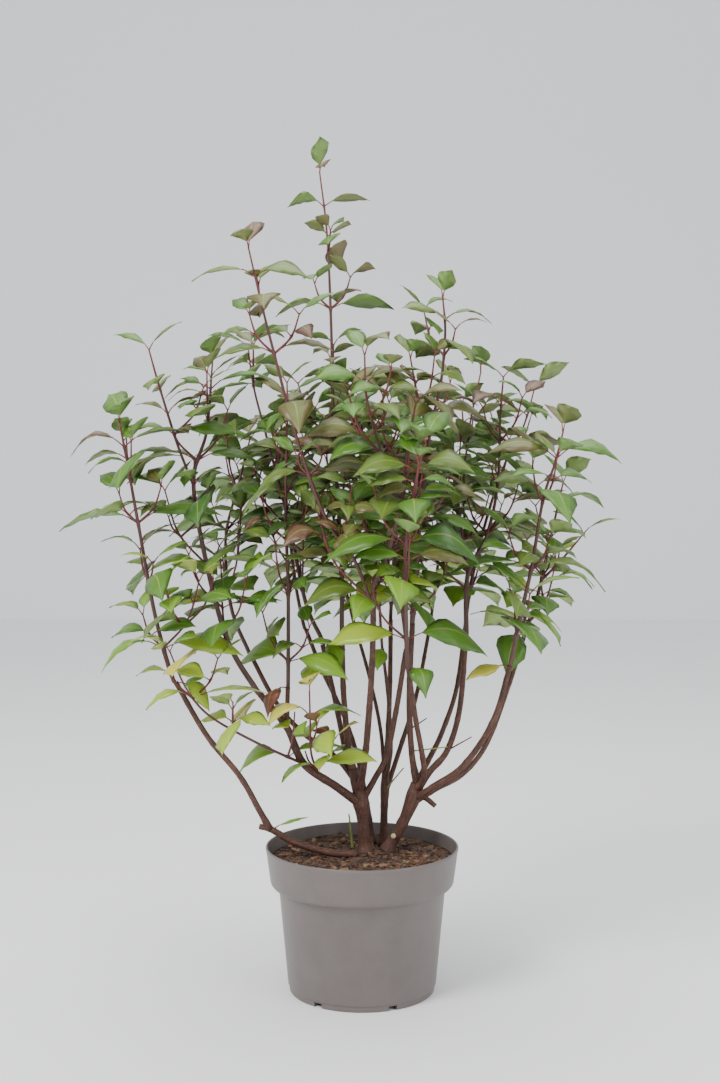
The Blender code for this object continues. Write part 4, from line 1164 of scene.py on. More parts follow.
def leaf_points(shape, length, rng):
    """The corners of a leaf with sunk veins, a toothed edge, a curled tip and a thin petiole."""
    first, second, side = [np.array(way) for way in leaf_axes(shape)]
    root = np.array(shape[0])
    tip = root + first * length * LEAF_ARCH + second * length * (1 - LEAF_ARCH)
    curl = np.array((0.0, 0.0, -1.0)) * rng.uniform(*CURL) * length
    near, far = ARCH_HANDLES
    rods = (root, root + first * length * near, tip - second * length * far, tip + curl)

    def centre(t):
        t = t[..., None]
        a, b, c, d = rods
        return (1 - t) ** 3 * a + 3 * (1 - t) ** 2 * t * b + 3 * (1 - t) * t * t * c + t**3 * d

    def heading(t):
        t = t[..., None]
        a, b, c, d = rods
        way = (1 - t) ** 2 * (b - a) + 2 * (1 - t) * t * (c - b) + t * t * (d - c)
        return way / np.linalg.norm(way, axis=-1, keepdims=True)

    columns = np.array(COLUMNS)[None, :]
    along = np.array(ALONG)[:, None]
    vein = np.where(np.arange(STATIONS + 1) % 2 == 0, 1.0, -1.0)[:, None]
    reach = along + VEIN_SLANT * along * (1 - along) * np.abs(columns)
    edge = reach[:, :1]
    spread = np.interp(edge, *zip(*OUTLINE))
    half = length * BLADE_HALF_WIDTH * rng.uniform(*WIDTH_RANGE) * spread * (1 + TOOTH * vein)
    t = PETIOLE_SHARE + (1 - PETIOLE_SHARE) * reach
    ways = heading(t)
    normals = np.cross(ways, side)
    normals /= np.linalg.norm(normals, axis=-1, keepdims=True)
    fold = rng.uniform(*FOLD)
    wave = rng.uniform(*WAVE) * length
    phase = rng.uniform(0, math.tau)
    outer = np.abs(columns)
    pleat = VEIN_DEPTH * length * np.minimum(spread * PLEAT_SPREAD, 1.0)
    pleat = pleat * (outer > INNER) * (PLEAT_INSIDE - PLEAT_FADE * outer)
    lift = -fold * half * outer**FOLD_CURVE - vein * pleat
    lift = lift - MIDRIB_SINK * length * spread * (outer < INNER)
    lift = lift + wave * outer**2 * np.sin(math.tau * WAVE_COUNT * reach + phase + columns)
    top = centre(t) + side * (columns * half)[..., None] + normals * lift[..., None]
    t = PETIOLE_SHARE + (1 - PETIOLE_SHARE) * along[::2, 0]
    below = np.cross(heading(t), side)
    below /= np.linalg.norm(below, axis=-1, keepdims=True)
    keel = centre(t) - below * (length * KEEL * spread[::2] + KEEL_LEAST)
    t = np.linspace(0, PETIOLE_SHARE * PETIOLE_OVERLAP, PETIOLE_RINGS)
    ways = heading(t)
    upward = np.cross(ways, side)
    rings = []
    for ring in range(PETIOLE_RINGS):
        for number in range(PETIOLE_SIDES):
            angle = math.tau * number / PETIOLE_SIDES
            spoke = side * math.cos(angle) + upward[ring] * math.sin(angle)
            thick = PETIOLE_FOOT - PETIOLE_TAPER * ring
            rings.append(centre(t[ring]) + spoke * PETIOLE_RADIUS * thick)
    return np.concatenate([top.reshape(-1, 3), keel, np.array(rings)])


# Leaf tints: upper face, its outer half, underside
TINTS = {
    "bronze": ((0.120, 0.062, 0.022), (0.094, 0.040, 0.020), (0.210, 0.180, 0.070)),
    "bronze_green": ((0.112, 0.128, 0.024), (0.104, 0.086, 0.022), (0.220, 0.250, 0.085)),
    "olive": ((0.104, 0.168, 0.020), (0.094, 0.144, 0.020), (0.220, 0.310, 0.090)),
    "mid_green": ((0.078, 0.182, 0.014), (0.068, 0.160, 0.014), (0.200, 0.330, 0.085)),
    "deep_green": ((0.042, 0.116, 0.012), (0.037, 0.100, 0.011), (0.150, 0.250, 0.075)),
    "fresh_green": ((0.160, 0.300, 0.020), (0.140, 0.270, 0.019), (0.290, 0.410, 0.100)),
    "yellow_green": ((0.320, 0.430, 0.034), (0.280, 0.400, 0.030), (0.390, 0.480, 0.110)),
    "yellow": ((0.560, 0.490, 0.066), (0.490, 0.460, 0.060), (0.540, 0.510, 0.130)),
    "red_brown": ((0.150, 0.044, 0.018), (0.116, 0.034, 0.015), (0.200, 0.100, 0.045)),
}
TINT_NAMES = list(TINTS)
MIXES = {
    "top": (("bronze", 3), ("bronze_green", 5), ("olive", 6), ("mid_green", 5)),
    "young": (("bronze", 1), ("bronze_green", 4), ("olive", 6), ("mid_green", 8)),
    "upper": (("bronze_green", 1), ("olive", 5), ("mid_green", 9), ("deep_green", 6)),
    "middle": (("olive", 3), ("mid_green", 9), ("deep_green", 5), ("fresh_green", 4)),
    "lower": (("mid_green", 6), ("fresh_green", 8), ("yellow_green", 3), ("olive", 2)),
    "low": (("fresh_green", 4), ("yellow_green", 8), ("yellow", 3), ("red_brown", 0.5)),
}
TINT_SEED = 5
YOUNG_BELOW = 0.11
LOWER_HEIGHT = 0.64
FINISHES_PER_TINT = 4
RIB_PALE = (0.34, 0.36, 0.12)
RIB_SHARE = 0.45
PETIOLE_RED = (0.180, 0.026, 0.024)
GLOSS_TOP, GLOSS_EDGE, GLOSS_RIB, GLOSS_UNDER, GLOSS_PETIOLE = 0.40, 0.42, 0.50, 0.62, 0.45


def leaf_mix(mass, root, below):
    colour = SPRAYS[mass][1]
    if colour in ("top", "low"):
        return colour
    if root.z < LOWER_HEIGHT:
        return "lower"
    if below < YOUNG_BELOW:
        return "young"
    return colour


def plain(name, colour, roughness=0.55):
    made = bpy.data.materials.new(name)
    made.use_nodes = True
    shader = made.node_tree.nodes["Principled BSDF"]
    shader.inputs["Base Color"].default_value = (*colour, 1.0)
    shader.inputs["Roughness"].default_value = roughness
    return made


def leaf_materials():
    """For each tint the upper face, its outer half, the midrib and the underside, then the petiole."""
    made = []
    for name, (top, edge, under) in TINTS.items():
        rib = [(1 - RIB_SHARE) * channel + RIB_SHARE * pale for channel, pale in zip(top, RIB_PALE)]
        made.append(plain("leaf_" + name, top, GLOSS_TOP))
        made.append(plain("leaf_edge_" + name, edge, GLOSS_EDGE))
        made.append(plain("leaf_midrib_" + name, rib, GLOSS_RIB))
        made.append(plain("leaf_underside_" + name, under, GLOSS_UNDER))
    made.append(plain("leaf_petiole", PETIOLE_RED, GLOSS_PETIOLE))
    return made


def leaf_finishes(tint):
    base = TINT_NAMES.index(tint) * FINISHES_PER_TINT
    slots = {TOP: base, EDGE: base + 1, RIB: base + 2, UNDER: base + 3}
    slots[PETIOLE] = len(TINT_NAMES) * FINISHES_PER_TINT
    return [slots[kind] for kind in LEAF_KINDS]


def boxed_leaf(shape, length, rng):
    """A leaf's corners, drawn shorter until they stay inside the box of the solids."""
    low = np.array(cad_box[0]) + EDGE_KEPT
    high = np.array(cad_box[1]) - EDGE_KEPT
    seed = rng.random()
    while True:
        points = leaf_points(shape, length, random.Random(seed))
        if (points > low).all() and (points < high).all():
            return points
        length *= SHRINK


def crease_veins(piece):
    """Marks the side veins sharp, so that the blade bulges between them."""
    mesh = piece.data
    ends = np.empty(2 * len(mesh.edges), dtype=np.int32)
    mesh.edges.foreach_get("vertices", ends)
    corner = ends.reshape(-1, 2) % LEAF_CORNERS
    station = corner // len(COLUMNS)
    on_blade = (corner < len(COLUMNS) * (STATIONS + 1)).all(axis=1)
    crease = on_blade & (station[:, 0] == station[:, 1]) & (station[:, 0] % 2 == 0)
    kept = mesh.attributes.new("sharp_edge", "BOOLEAN", "EDGE")
    kept.data.foreach_set("value", crease)
    return piece


def make_leaves(leaves, materials):
    """One piece for each colour that the sprays are given."""
    rng = random.Random(TINT_SEED)
    batches = {}
    for mass, shape, length, below in leaves:
        batch = batches.setdefault(SPRAYS[mass][1], Batch())
        names, weights = zip(*MIXES[leaf_mix(mass, shape[0], below)])
        tint = rng.choices(names, weights)[0]
        batch.add(boxed_leaf(shape, length * LEAF_LENGTH, rng), LEAF_FACES, leaf_finishes(tint))
    return {
        colour: crease_veins(batch.build("leaves_" + colour, materials))
        for colour, batch in batches.items()
    }


# Stems and bark
STEM_STEP = 0.0045
STEM_SIDES = 7
NODE_SWELL = 0.42
NODE_LENGTH = 0.0032
BARK_STEP = 0.0035
BARK_SIDES = 14
# Radii at which the bark of young stems changes from red through maroon to brown
RED_NODES_BELOW = 0.0030
BROWN_FROM = 0.0028
MAROON_FROM = 0.0017
STEM_BROWN, STEM_MAROON, STEM_RED, NODE_RED = range(4)
STEM_FINISHES = (
    ("stem_brown", (0.078, 0.036, 0.027), 0.60), ("stem_maroon", (0.082, 0.024, 0.020), 0.50),
    ("stem_red", (0.125, 0.022, 0.019), 0.45), ("node_red", (0.100, 0.024, 0.019), 0.50),
)


def rings_along(points, step, sides, widen):
    """Corner points and faces of a round limb, and how far along and how stout each ring is.

    Its radius at an angle and a distance comes from widen.
    """
    route = smooth_route(points, step)
    ways = headings(route)
    across = ways[0].cross(Vector((0.0, 1.0, 0.0))).normalized()
    corners = []
    walked = 0.0
    distances = []
    for index, ((place, radius), way) in enumerate(zip(route, ways)):
        if index:
            walked += (place - route[index - 1][0]).length
        distances.append(walked)
        across = (across - way * across.dot(way)).normalized()
        beside = way.cross(across)
        for side in range(sides):
            angle = math.tau * side / sides
            spoke = across * math.cos(angle) + beside * math.sin(angle)
            corners.append(place + spoke * widen(angle, walked, radius))
    faces = ring_faces(len(route), sides)
    return corners, faces, distances, [radius for _, radius in route]


def make_stems(stems, materials):
    batch = Batch()
    for _, points, nodes in stems:

        def widen(_, walked, radius):
            near = max((math.exp(-(((walked - node) / NODE_LENGTH) ** 2)) for node in nodes), default=0)
            return radius * (1 + NODE_SWELL * near)

        corners, faces, distances, radii = rings_along(points, STEM_STEP, STEM_SIDES, widen)
        finishes = []
        for distance, radius in zip(distances[:-1], radii[:-1]):
            near_node = any(abs(distance - node) < NODE_LENGTH for node in nodes)
            if near_node and radius < RED_NODES_BELOW:
                finish = NODE_RED
            elif radius > BROWN_FROM:
                finish = STEM_BROWN
            elif radius > MAROON_FROM:
                finish = STEM_MAROON
            else:
                finish = STEM_RED
            finishes.extend([finish] * STEM_SIDES)
        finishes.extend([STEM_BROWN, STEM_RED])
        batch.add(corners, faces, finishes)
    return batch.build("young_stems", materials)


def coat_material(name, roughness):
    """A new material with its node tree and its shader."""
    made = bpy.data.materials.new(name)
    made.use_nodes = True
    tree = made.node_tree
    shader = tree.nodes["Principled BSDF"]
    shader.inputs["Roughness"].default_value = roughness
    return made, tree, shader


def node(tree, kind, **values):
    made = tree.nodes.new(kind)
    for name, value in values.items():
        if hasattr(made, name):
            setattr(made, name, value)
        else:
            made.inputs[name.replace("_", " ")].default_value = value
    return made


def ramp(tree, factor, stops):
    made = tree.nodes.new("ShaderNodeValToRGB")
    bands = made.color_ramp.elements
    while len(bands) < len(stops):
        bands.new(0.5)
    for band, (place, colour) in zip(bands, stops):
        band.position = place
        band.color = (*colour, 1.0)
    tree.links.new(factor, made.inputs["Fac"])
    return made.outputs["Color"]


def mottle_group():
    """Shared effect: uneven weathering, as a mask of noise at a place and a size."""
    group = bpy.data.node_groups.new("weathering", "ShaderNodeTree")
    group.interface.new_socket("Place", in_out="INPUT", socket_type="NodeSocketVector")
    group.interface.new_socket("Size", in_out="INPUT", socket_type="NodeSocketFloat")
    group.interface.new_socket("Mask", in_out="OUTPUT", socket_type="NodeSocketFloat")
    start = group.nodes.new("NodeGroupInput")
    end = group.nodes.new("NodeGroupOutput")
    grain = node(group, "ShaderNodeTexNoise", Detail=6.0, Roughness=0.62)
    group.links.new(start.outputs["Place"], grain.inputs["Vector"])
    group.links.new(start.outputs["Size"], grain.inputs["Scale"])
    group.links.new(grain.outputs["Fac"], end.inputs["Mask"])
    return group


def weathered(tree, group, place, size):
    made = tree.nodes.new("ShaderNodeGroup")
    made.node_tree = group
    made.inputs["Size"].default_value = size
    tree.links.new(place, made.inputs["Place"])
    return made.outputs["Mask"]


def bump(tree, shader, height, strength, distance):
    made = node(tree, "ShaderNodeBump", Strength=strength, Distance=distance)
    tree.links.new(height, made.inputs["Height"])
    tree.links.new(made.outputs["Normal"], shader.inputs["Normal"])


# Bark: how far along the limb, and how far round it, kept on every point for the streaks
BARK_PLACE = "bark_place"
RIDGE_DEPTH = 0.055
KNUCKLE_SPACING = 0.072
KNUCKLE_SWELL = 0.10
COLLAR_SWELL = 0.22
COLLAR_LENGTH = 0.014
RIDGE_SIZE = (1.9, 34)
FINE_RIDGES = (0.5, 2.3)
FULL_RIDGES_FROM = 0.005
KNUCKLE_SHARPNESS = 14
LIMB_SHIFT = (7.3, 3.1)
STOUT_FROM = 0.0045
STOUT_SIDES = 18
SHOOT_SIDES = 10
CREAM_WOOD = (0.560, 0.430, 0.240)
WOOD_ROUGHNESS = 0.8
# The colour sockets of a mix node
MIX_GROUND, MIX_DOTS, MIX_RESULT = 6, 7, 2
# Bark colours from the cracks to the ridges, and that of the pores
BARK_COLOURS = (
    (0.020, 0.008, 0.005), (0.072, 0.027, 0.016), (0.128, 0.055, 0.034), (0.190, 0.112, 0.074),
)
SHOOT_COLOURS = (
    (0.120, 0.150, 0.035), (0.190, 0.230, 0.055), (0.240, 0.290, 0.080), (0.260, 0.190, 0.080),
)
BARK_STOPS = (0.34, 0.50, 0.64)
# Sizes and shares of the long streaks, the patches and the pores
STREAK_STRETCH = (1.0, 1.0, 0.16)
STREAK_SIZE, STREAK_SHARE = 620.0, 0.62
PATCH_SIZE, PATCH_SHARE = 55.0, 0.38
PORE_SIZE = 260.0
BARK_ROUGHNESS = 0.72
BARK_BUMP = (0.55, 0.0012)
PORE_STOPS = ((0.10, (1.0, 1.0, 1.0)), (0.20, (0.0, 0.0, 0.0)))


def bark_material(group, name, colours):
    made, tree, shader = coat_material(name, BARK_ROUGHNESS)
    place = node(tree, "ShaderNodeAttribute", attribute_name=BARK_PLACE).outputs["Vector"]
    stretch = node(tree, "ShaderNodeMapping")
    stretch.inputs["Scale"].default_value = STREAK_STRETCH
    tree.links.new(place, stretch.inputs["Vector"])
    streaks = weathered(tree, group, stretch.outputs["Vector"], STREAK_SIZE)
    patches = weathered(tree, group, place, PATCH_SIZE)
    both = node(tree, "ShaderNodeMath", operation="MULTIPLY_ADD")
    both.inputs[1].default_value = STREAK_SHARE
    tree.links.new(streaks, both.inputs[0])
    share = node(tree, "ShaderNodeMath", operation="MULTIPLY")
    share.inputs[1].default_value = PATCH_SHARE
    tree.links.new(patches, share.inputs[0])
    tree.links.new(share.outputs[0], both.inputs[2])
    bark = ramp(tree, both.outputs[0], tuple(zip(BARK_STOPS, colours)))
    dots = node(tree, "ShaderNodeTexVoronoi", Scale=PORE_SIZE)
    tree.links.new(place, dots.inputs["Vector"])
    pores = ramp(tree, dots.outputs["Distance"], PORE_STOPS)
    mix = node(tree, "ShaderNodeMix", data_type="RGBA")
    tree.links.new(pores, mix.inputs["Factor"])
    tree.links.new(bark, mix.inputs[MIX_GROUND])
    mix.inputs[MIX_DOTS].default_value = (*colours[-1], 1.0)
    tree.links.new(mix.outputs[MIX_RESULT], shader.inputs["Base Color"])
    bump(tree, shader, both.outputs[0], *BARK_BUMP)
    return made


def bark_batch(limbs, names, sides_for):
    """The limbs with ridged bark, a collar where each leaves its parent, and worn knuckles."""
    batch = Batch()
    places = []
    for number, name in enumerate(names):
        shift = Vector((number * LIMB_SHIFT[0], number * LIMB_SHIFT[1], 0.0))
        radius_low = limbs[name].points[0][3]
        sides = sides_for(radius_low)
        collared = name in BOUGHS

        def widen(angle, walked, radius, shift=shift, collared=collared):
            across, along = RIDGE_SIZE
            around = Vector((math.cos(angle) * across, math.sin(angle) * across, walked * along))
            around += shift
            depth, size = FINE_RIDGES
            ridge = noise.noise(around) + depth * noise.noise(around * size)
            knuckle = math.cos(math.tau * walked / KNUCKLE_SPACING + shift.x)
            swell = 1 + RIDGE_DEPTH * ridge * min(1.0, radius / FULL_RIDGES_FROM)
            swell += KNUCKLE_SWELL * max(0.0, knuckle) ** KNUCKLE_SHARPNESS
            if collared:
                swell += COLLAR_SWELL * math.exp(-walked / COLLAR_LENGTH)
            return radius * swell

        points = limbs[name].points
        corners, faces, distances, _ = rings_along(points, BARK_STEP, sides, widen)
        batch.add(corners, faces, [0] * len(faces))
        girth = radius_low
        for index in range(len(corners)):
            ring, side = divmod(index, sides)
            angle = math.tau * side / sides
            across = Vector((math.cos(angle) * girth, math.sin(angle) * girth, distances[ring]))
            places.append(across + shift)
    return batch, places


# Stubs left by pruning and bare twigs: points with radii, and which of three kinds each one is
STUB_SIDES = 8
BROWN_BARK, CUT_WOOD, GREEN_BARK = range(3)
BARE_TWIG, CUT_STUB, GREEN_TWIG = range(3)
STUBS = (
    (((0.050, 0.022, 0.222, 0.0046), (0.0466, 0.0130, 0.2243, 0.0040)), CUT_STUB),
    (
        ((0.085, 0.030, 0.283, 0.0044), (0.098, 0.029, 0.276, 0.0041), (0.110, 0.028, 0.266, 0.0038)),
        CUT_STUB,
    ),
    (((0.073, 0.018, 0.385, 0.0013), (0.096, 0.010, 0.402, 0.0009)), BARE_TWIG),
    (((0.130, 0.026, 0.352, 0.0013), (0.163, 0.015, 0.373, 0.0009)), BARE_TWIG),
    (((0.074, 0.024, 0.350, 0.0012), (0.1275, 0.020, 0.357, 0.0009)), GREEN_TWIG),
    (((0.036, 0.070, 0.282, 0.0014), (0.063, 0.060, 0.317, 0.0010)), GREEN_TWIG),
)


def add_details(batch, places):
    for points, kind in STUBS:
        corners, faces, distances, _ = rings_along(points, BARK_STEP, STUB_SIDES, lambda _, __, r: r)
        around = GREEN_BARK if kind == GREEN_TWIG else BROWN_BARK
        end = CUT_WOOD if kind == CUT_STUB else BROWN_BARK
        finishes = [around] * (len(faces) - 1) + [end]
        batch.add(corners, faces, finishes)
        places.extend(Vector((c.x, c.y, c.z)) for c in corners)


def with_places(piece, places):
    kept = piece.data.attributes.new(BARK_PLACE, "FLOAT_VECTOR", "POINT")
    kept.data.foreach_set("vector", [value for place in places for value in place])
    return piece


# Pot
POT_SIDES = 120
FOOT_OUTER = POT_BASE_RADIUS - FOOT_INSET
FOOT_INNER = FOOT_OUTER - FOOT_WIDTH
CHANNEL_INNER = FOOT_INNER - CHANNEL_WIDTH
POT_FLOOR_TOP = CHANNEL_HEIGHT + POT_FLOOR
BEAD_MIDDLE = POT_HEIGHT - POT_LIP / 2
BEAD_TURNS = range(0, 181, 30)
# How far the cutters of the notches reach past the foot, and the plastic's mottling
NOTCH_SPARE = 3
PLASTIC_ROUGHNESS = 0.40
PLASTIC_STOPS = ((0.36, (0.118, 0.098, 0.092)), (0.62, (0.132, 0.110, 0.103)))
MASK_SIZE, SCUFF_SIZE = 26.0, 210.0
SHEEN = (0.34, 0.50)
TURNING_STRETCH = (0.4, 0.4, 5.0)
TURNING_SIZE = 60.0
TURNING_BUMP = (0.10, 0.0006)
ROUNDING_SHARES = (0.15, 0.35, 0.60, 0.80, 1.0)
SMOOTH_ANGLE = math.radians(32)


def pot_profile():
    """Radius and height of each ring, from the middle of the underside round to that of the floor."""
    step_radius = POT_SHOULDER_RADIUS + STEP_WIDTH
    step_height = POT_SHOULDER_HEIGHT + POT_EDGE
    rounding = []
    for share in ROUNDING_SHARES:
        angle = share * math.pi / 2
        radius = step_radius + (POT_BAND_RADIUS - step_radius) * math.sin(angle)
        height = step_height + (POT_BAND_HEIGHT - step_height) * (1 - math.cos(angle))
        rounding.append((radius, height))
    bead = POT_LIP / 2
    lip = []
    for turn in BEAD_TURNS:
        angle = math.radians(turn)
        radius = POT_RIM_RADIUS - bead + bead * math.cos(angle)
        lip.append((radius, BEAD_MIDDLE + bead * math.sin(angle)))
    return [
        (CHANNEL_INNER, 0.0),
        (CHANNEL_INNER + CHANNEL_SLOPE, CHANNEL_HEIGHT),
        (FOOT_INNER - CHANNEL_SLOPE, CHANNEL_HEIGHT),
        (FOOT_INNER, 0.0),
        (FOOT_OUTER - POT_EDGE, 0.0),
        (FOOT_OUTER - POT_EDGE / 4, POT_EDGE / 3),
        (FOOT_OUTER, POT_EDGE),
        (FOOT_OUTER + FOOT_DRAFT, FOOT_HEIGHT),
        (POT_BASE_RADIUS + FOOT_DRAFT, FOOT_HEIGHT + POT_EDGE / 3),
        (POT_BASE_RADIUS + 2 * FOOT_DRAFT, FOOT_HEIGHT + POT_EDGE),
        (POT_SHOULDER_RADIUS - POT_EDGE / 3, POT_SHOULDER_HEIGHT - POT_EDGE),
        (POT_SHOULDER_RADIUS + POT_EDGE / 3, POT_SHOULDER_HEIGHT),
        (step_radius, step_height),
        *rounding,
        (POT_RIM_RADIUS - POT_EDGE / 2, POT_HEIGHT - 4 * POT_EDGE),
        (POT_RIM_RADIUS, POT_HEIGHT - 2.6 * POT_EDGE),
        *lip,
        (POT_RIM_RADIUS - POT_LIP - POT_EDGE / 2, POT_HEIGHT - 3 * POT_EDGE),
        (POT_BAND_RADIUS - POT_WALL, POT_BAND_HEIGHT),
        (POT_SHOULDER_RADIUS - POT_WALL, POT_SHOULDER_HEIGHT),
        (POT_BASE_RADIUS - POT_WALL, POT_FLOOR_TOP),
        (POT_BASE_RADIUS / 2, POT_FLOOR_TOP),
    ]


def turn_rings(name, profile, sides):
    """A turned piece: a ring that is extruded and resized from step to step, then closed."""
    radius, height = profile[0]
    bpy.ops.object.select_all(action="DESELECT")
    bpy.ops.mesh.primitive_circle_add(vertices=sides, radius=radius, location=(0, 0, height))
    piece = bpy.context.object
    piece.name = name
    bpy.ops.object.transform_apply(location=True, rotation=False, scale=False)
    bpy.ops.object.mode_set(mode="EDIT")
    bpy.ops.mesh.select_mode(type="EDGE")
    bpy.ops.mesh.select_all(action="SELECT")
    for next_radius, next_height in profile[1:]:
        step = {"value": (0, 0, next_height - height)}
        bpy.ops.mesh.extrude_edges_move(TRANSFORM_OT_translate=step)
        share = next_radius / radius
        bpy.ops.transform.resize(value=(share, share, 1), center_override=(0, 0, next_height))
        radius, height = next_radius, next_height
    bpy.ops.mesh.select_all(action="SELECT")
    bpy.ops.mesh.fill_holes(sides=0)
    bpy.ops.mesh.select_all(action="SELECT")
    bpy.ops.mesh.normals_make_consistent(inside=False)
    bpy.ops.object.mode_set(mode="OBJECT")
    return piece


def pick(piece):
    bpy.ops.object.select_all(action="DESELECT")
    piece.select_set(True)
    bpy.context.view_layer.objects.active = piece


def make_pot(finish):
    pot = turn_rings("pot_shell", pot_profile(), POT_SIDES)
    depth = FOOT_OUTER - FOOT_INNER + NOTCH_SPARE * (CHANNEL_SLOPE + POT_EDGE)
    middle = (FOOT_OUTER + FOOT_INNER + POT_EDGE) / 2
    cutters = []
    for notch in range(NOTCH_COUNT):
        angle = FIRST_NOTCH + math.tau * notch / NOTCH_COUNT
        place = (middle * math.cos(angle), middle * math.sin(angle), 0.0)
        bpy.ops.mesh.primitive_cube_add(size=1.0, location=place, rotation=(0, 0, angle))
        cutter = bpy.context.object
        cutter.scale = (depth, NOTCH_WIDTH, 2 * NOTCH_HEIGHT)
        cutters.append(cutter)
        cut = pot.modifiers.new("notch", "BOOLEAN")
        cut.operation = "DIFFERENCE"
        cut.object = cutter
        cut.solver = "EXACT"
    pick(pot)
    for modifier in list(pot.modifiers):
        bpy.ops.object.modifier_apply(modifier=modifier.name)
    for cutter in cutters:
        bpy.data.objects.remove(cutter)
    bpy.ops.object.shade_smooth_by_angle(angle=SMOOTH_ANGLE)
    pot.data.materials.clear()
    pot.data.materials.append(finish)
    return pot


def pot_material(group):
    made, tree, shader = coat_material("taupe_plastic", PLASTIC_ROUGHNESS)
    place = node(tree, "ShaderNodeTexCoord").outputs["Object"]
    mask = weathered(tree, group, place, MASK_SIZE)
    scuffs = weathered(tree, group, place, SCUFF_SIZE)
    tree.links.new(ramp(tree, mask, PLASTIC_STOPS), shader.inputs["Base Color"])
    sheen = node(tree, "ShaderNodeMapRange", To_Min=SHEEN[0], To_Max=SHEEN[1])
    tree.links.new(scuffs, sheen.inputs["Value"])
    tree.links.new(sheen.outputs["Result"], shader.inputs["Roughness"])
    stretch = node(tree, "ShaderNodeMapping")
    stretch.inputs["Scale"].default_value = TURNING_STRETCH
    tree.links.new(place, stretch.inputs["Vector"])
    rings = weathered(tree, group, stretch.outputs["Vector"], TURNING_SIZE)
    bump(tree, shader, rings, *TURNING_BUMP)
    return made


# Compost
COMPOST_RISE = (SOIL_TOP - POT_BAND_HEIGHT) / (POT_HEIGHT - POT_BAND_HEIGHT)
COMPOST_RADIUS = (
    POT_BAND_RADIUS + COMPOST_RISE * (POT_RIM_RADIUS - POT_BAND_RADIUS) - POT_WALL - 3 * GAP
)
COMPOST_RINGS = 22
COMPOST_SIDES = 96
COMPOST_BED = 0.1700
# Gaps to the wall, and the height of the lumps by share and fineness of the noise
WALL_GAP = 0.0005
BED_GAP = 0.003
SHOULDER = 0.004
MOUND_FROM = 0.006
LUMP = 0.0075
LUMP_DROP = 0.001
LUMP_MIX = ((0.5, 26), (0.3, 70), (0.2, 180))
COMPOST_ROUGHNESS = 0.88
CRUMB_SIZE = 330.0
CRUMB_STOPS = ((0.34, (0.018, 0.011, 0.009)), (0.50, (0.064, 0.032, 0.021)), (0.66, (0.130, 0.062, 0.034)))
CRUMB_BUMP = (0.9, 0.003)
SCATTER_GAP = 0.007
# Bark chips: sizes, and ranges of what differs from chip to chip
CHIP_COUNT = 1500
CHIP_SEED = 23
CHIP_SIDES = 6
CHIP_SIZES = (0.0012, 0.0018, 0.0026, 0.0040)
CHIP_VARIATION = (0.8, 1.3)
CHIP_LENGTH = (1.0, 2.1)
CHIP_TILT = (-0.5, 0.5)
CHIP_TEAR = (0.7, 1.15)
CHIP_THICKNESS = 0.34
CHIP_UNEVEN = (0.6, 1.2)
CHIP_LIFT = 0.25
CHIP_ROUGHNESS = 0.85
CHIP_COLOURS = (
    (0.105, 0.048, 0.028), (0.070, 0.034, 0.022), (0.036, 0.021, 0.016), (0.170, 0.080, 0.040),
    (0.230, 0.135, 0.070), (0.052, 0.028, 0.020),
)
CHIP_WEIGHTS = (8, 8, 6, 4, 2, 6)
# Coir fibres: up to so many steps each, with ranges of step, thickness and bend
FIBRE_COUNT = 1300
FIBRE_SEED = 29
FIBRE_STEPS, FIBRE_LEAST = 6, 3
FIBRE_SIDES = 3
FIBRE_STEP = (0.0010, 0.0028)
FIBRE_HALF = (0.00015, 0.00034)
FIBRE_BEND = (-0.6, 0.6)
FIBRE_EDGE = 0.004
FIBRE_LIFT = 0.0012
FIBRE_HEIGHT = 1.6
FIBRE_COLOURS = (("coir_fibre_pale", (0.26, 0.15, 0.07)), ("coir_fibre_dark", (0.11, 0.055, 0.03)))


def compost_height(x, y):
    spot = Vector((x, y, 0.0))
    mound = sum(share * noise.noise(spot * fineness) for share, fineness in LUMP_MIX)
    return SOIL_TOP + LUMP * mound - LUMP_DROP


def make_compost(material):
    widest = COMPOST_RADIUS - WALL_GAP
    rings = [(COMPOST_RADIUS - BED_GAP, COMPOST_BED), (widest, SOIL_TOP - SHOULDER)]
    for number in range(COMPOST_RINGS):
        rings.append((widest * (1 - (number + 1) / (COMPOST_RINGS + 1)), SOIL_TOP))
    compost = turn_rings("compost", rings, COMPOST_SIDES)
    for vertex in compost.data.vertices:
        if vertex.co.z > SOIL_TOP - MOUND_FROM:
            vertex.co.z = compost_height(vertex.co.x, vertex.co.y)
    compost.data.materials.append(material)
    compost.data.shade_smooth()
    return compost


def compost_material(group):
    made, tree, shader = coat_material("peat_and_bark_fines", COMPOST_ROUGHNESS)
    place = node(tree, "ShaderNodeTexCoord").outputs["Object"]
    crumbs = weathered(tree, group, place, CRUMB_SIZE)
    tree.links.new(ramp(tree, crumbs, CRUMB_STOPS), shader.inputs["Base Color"])
    bump(tree, shader, crumbs, *CRUMB_BUMP)
    return made


def scatter_spot(rng):
    reach = (COMPOST_RADIUS - SCATTER_GAP) * math.sqrt(rng.random())
    angle = rng.uniform(0, math.tau)
    x, y = reach * math.cos(angle), reach * math.sin(angle)
    return Vector((x, y, compost_height(x, y)))


